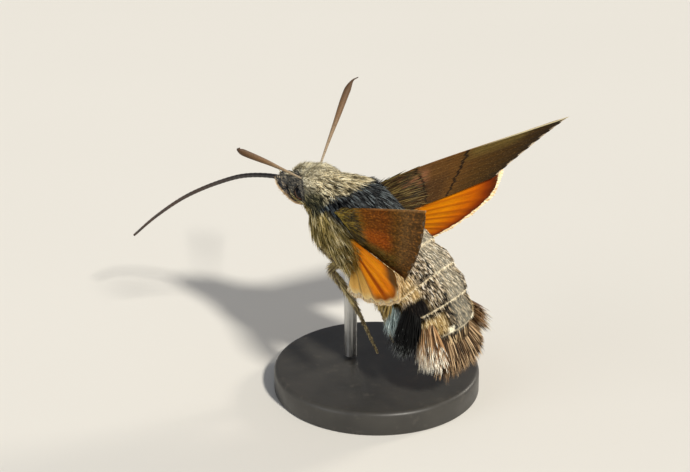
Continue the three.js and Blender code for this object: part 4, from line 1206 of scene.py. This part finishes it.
def leg_scales(name, rng, line, radius, material, furry):
    """Scales that lie along a leg, longer and closer where it is furry."""
    t = np.linspace(0, 1, len(line))
    count, crowding, lift = (1300, 1.5, 0.4) if furry else (420, 1, 0.25)
    lengths = (0.95, 0.85, 0.4, 0.2) if furry else (0.5, 0.45, 0.4, 0.2)
    at = (2 + (len(line) - 4) * rng.random(count) ** crowding).astype(int)
    tangent = unit(np.gradient(line, axis=0))[at]
    around = unit(np.cross(tangent, rng.normal(size=(count, 3))))
    root = line[at] + around * column(radius[at] * 0.9)
    lie = stray(rng, tangent, 0.15)
    size = np.interp(t[at], (0, 0.45, 0.6, 1), lengths)
    uv = (0.05 + 0.9 * t[at], 0.05 + 0.9 * rng.random(count))
    seed = rng.random(count) ** np.where(furry and t[at] < 0.5, 0.5, 1.0)
    grow(name, material, uv, {"seed": seed}, root, lie, around, size, width=0.07, lift=lift,
         settle=0.1)


def leg_spurs(name, line, up, material):
    spurs = []
    for share, length in ((0.52, 0.7), (0.66, 0.8)):
        i = int(share * (len(line) - 1))
        way = unit(np.gradient(line, axis=0)[i])
        for swing in (-1, 1):
            spurs.append((line[i], unit(way + 0.5 * swing * LEFTWARD - 0.2 * up), length))
    root, lie, length = (np.array(v) for v in zip(*spurs))
    normal = unit(np.cross(lie, [0.3, 0.2, 1.0]))
    uv = (np.full(4, 0.5), np.linspace(0.1, 0.9, 4))
    grow(name, material, uv, {"seed": np.full(4, 0.4)}, root, lie, normal, length, width=0.13,
         settle=0.1)


def build_legs():
    look = leg_material()
    scales = strand_material("leg_scales", (0, 70, 58, 44), (0.5, 128, 112, 84), (0.8, 176, 158, 108),
                             (1, 222, 204, 150))
    centre, back, up = axis_at(0.0)
    t = np.linspace(0, 1, 90)
    radius = np.interp(t, (0, 0.33, 0.4, 0.66, 0.7, 1), (0.26, 0.22, 0.19, 0.16, 0.11, 0.08))
    radius = radius * (1 + 0.1 * np.sin(t * 2 * np.pi * 11) * (t > 0.68))
    for name, joints in LEGS.items():
        for side_name, side in SIDES.items():
            places = [centre + side * x * LEFTWARD + b * back - d * up for x, b, d in joints]
            line = smooth_curve(places, len(t))
            leg = f"{name}_{side_name}"
            piece = tube(f"{leg}_limb", line, radius, 14, look)
            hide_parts(leg)
            rng = np.random.default_rng(len(name) * 7 + side)
            leg_scales(f"{leg}_scales", rng, line, radius, scales, furry=name == "hindleg")
            leg_spurs(f"{leg}_spurs", line, up, scales)


# Stand, floor, light and camera

def stand_base_material():
    m = Material("stand_base", roughness=0.42, specular=0.4)
    grain = m.noise(m.place(), 900.0, 5.0)
    m.colour = m.mix(m.fade(m.noise(m.place(), 120.0), 0.3, 0.7), (44, 43, 41), (60, 58, 54))
    m.paint((84, 80, 74), m.fade(grain, 0.55, 0.75), 0.5)
    m.put("Roughness", m.line(grain, 0.25, 0.3))
    m.bump(grain, 0.25, 0.00005)
    return m.done()


def stand_rod_material():
    m = Material("stand_rod", roughness=0.3, metallic=1.0)
    brushed = m.noise(m.vector(m.times(m.place(), 1.0), 0.0), 3000.0)
    m.colour = m.mix(brushed, (168, 168, 166), (206, 206, 204))
    m.put("Roughness", m.line(brushed, 0.2, 0.22))
    return m.done()


def build_stand():
    """A round base with rounded edges, and the CAD rod in brushed steel."""
    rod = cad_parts["stand_rod"]
    rod.data.materials.clear()
    rod.data.materials.append(stand_rod_material())
    outline = [(0.02, 0.0), (BASE_RADIUS - 0.15, 0.0), (BASE_RADIUS, 0.15)]
    for a in np.linspace(0, np.pi / 2, 9):
        outline.append((BASE_RADIUS - BASE_ROUNDING + BASE_ROUNDING * math.cos(a),
                        BASE_THICKNESS - BASE_ROUNDING + BASE_ROUNDING * math.sin(a)))
    outline += [(radius, BASE_THICKNESS) for radius in (9.0, 6.0, 3.0, 0.02)]
    rings = np.array([[(r * math.cos(a), r * math.sin(a), z) for a in circle(160)] for r, z in outline])
    points, faces = tube_mesh(rings)
    piece = make_object("stand_base_disc", points, faces, stand_base_material())
    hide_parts("stand_base")


def set_axes(holder, right, up, back, place=(0, 0, 0)):
    """Turns and places a lamp or the camera."""
    rows = [[*axis, float(p)] for axis, p in zip(np.stack([right, up, back], 1), place)]
    holder.matrix_world = Matrix(rows + [[0, 0, 0, 1]])
    bpy.context.scene.collection.objects.link(holder)


LAMPS = (
    ("key", 0.4 * CAMERA_RIGHT + 0.35 * CAMERA_UP + 0.85 * CAMERA_BACK, 3.8, 6, (1.0, 0.95, 0.86)),
    ("fill", -0.75 * CAMERA_RIGHT + 0.05 * CAMERA_UP + 0.6 * CAMERA_BACK, 0.75, 40, (0.95, 0.97, 1.0)),
    ("rim", 0.8 * CAMERA_RIGHT + 0.6 * CAMERA_UP - 0.3 * CAMERA_BACK, 1.1, 12, (1.0, 0.92, 0.8)),
)


def build_stage():
    bpy.ops.mesh.primitive_plane_add(size=3.0, location=(0, 0, 0))
    floor = bpy.context.object
    floor.name = "floor"
    m = Material("floor", roughness=0.8)
    m.colour = m.mix(m.noise(m.place(), 6.0), (214, 212, 206), (222, 220, 214))
    floor.data.materials.append(m.done())
    world = bpy.data.worlds.new("studio")
    world.use_nodes = True
    world.node_tree.nodes["Background"].inputs[0].default_value = (0.86, 0.9, 1.0, 1)
    world.node_tree.nodes["Background"].inputs[1].default_value = 0.24
    bpy.context.scene.world = world
    bpy.context.scene.view_settings.view_transform = "Standard"
    for name, direction, energy, softness, colour in LAMPS:
        lamp = bpy.data.lights.new(name, "SUN")
        lamp.energy = energy
        lamp.angle = math.radians(softness)
        lamp.color = colour
        back = unit(direction)
        right = unit(np.cross([0, 0, 1.0], back))
        set_axes(bpy.data.objects.new(name, lamp), right, np.cross(back, right), back)


def build_camera():
    camera = bpy.data.cameras.new("camera")
    camera.sensor_width = 36
    camera.lens = CAMERA_LENS
    camera.clip_start, camera.clip_end = 0.005, 10
    target = THORAX_MIDDLE - 1.15 * CAMERA_RIGHT - 1.5 * CAMERA_UP
    holder = bpy.data.objects.new("camera", camera)
    set_axes(holder, unit(CAMERA_RIGHT), unit(CAMERA_UP), unit(CAMERA_BACK),
             (target + CAMERA_DISTANCE * CAMERA_BACK) * MM)
    bpy.context.scene.camera = holder


def build_wings():
    blades = {"forewing": forewing_material(), "hindwing": hindwing_material()}
    for side_name in SIDES:
        make_wing(side_name, "forewing", FOREWING, blades["forewing"])
        make_wing(side_name, "hindwing", HINDWING, blades["hindwing"])
    fore_fringe = strand_material("fore_fringe", (0, 70, 54, 38), (0.4, 150, 124, 92), (1, 236, 222, 196))
    hind_fringe = strand_material("fringe", (0, 190, 150, 104), (0.35, 240, 212, 160), (1, 255, 246, 216))
    fore_hair = strand_material("wing_base_hair", (0, 28, 22, 14), (0.5, 70, 58, 34), (1, 124, 104, 58))
    hind_hair = strand_material("hindwing_base_hair", (0, 104, 78, 26), (0.5, 164, 122, 44),
                                (1, 206, 172, 96))
    fore_tones = {"left": (0.0, 0.35), "right": (0.3, 1.0)}
    for side_name in SIDES:
        wing_fringe(side_name, "forewing", FOREWING, fore_fringe, 1800, 0.24, fore_tones[side_name])
        wing_fringe(side_name, "hindwing", HINDWING, hind_fringe, 2400, 0.55)
        wing_base_hair(side_name, "forewing", FOREWING, fore_hair, 600)
        wing_base_hair(side_name, "hindwing", HINDWING, hind_hair, 300)


build_camera()
build_stage()
build_stand()
build_skin()
build_coat()
build_side_tufts()
build_fan()
build_eyes()
build_palps()
build_proboscis()
build_antennae()
build_legs()
build_wings()
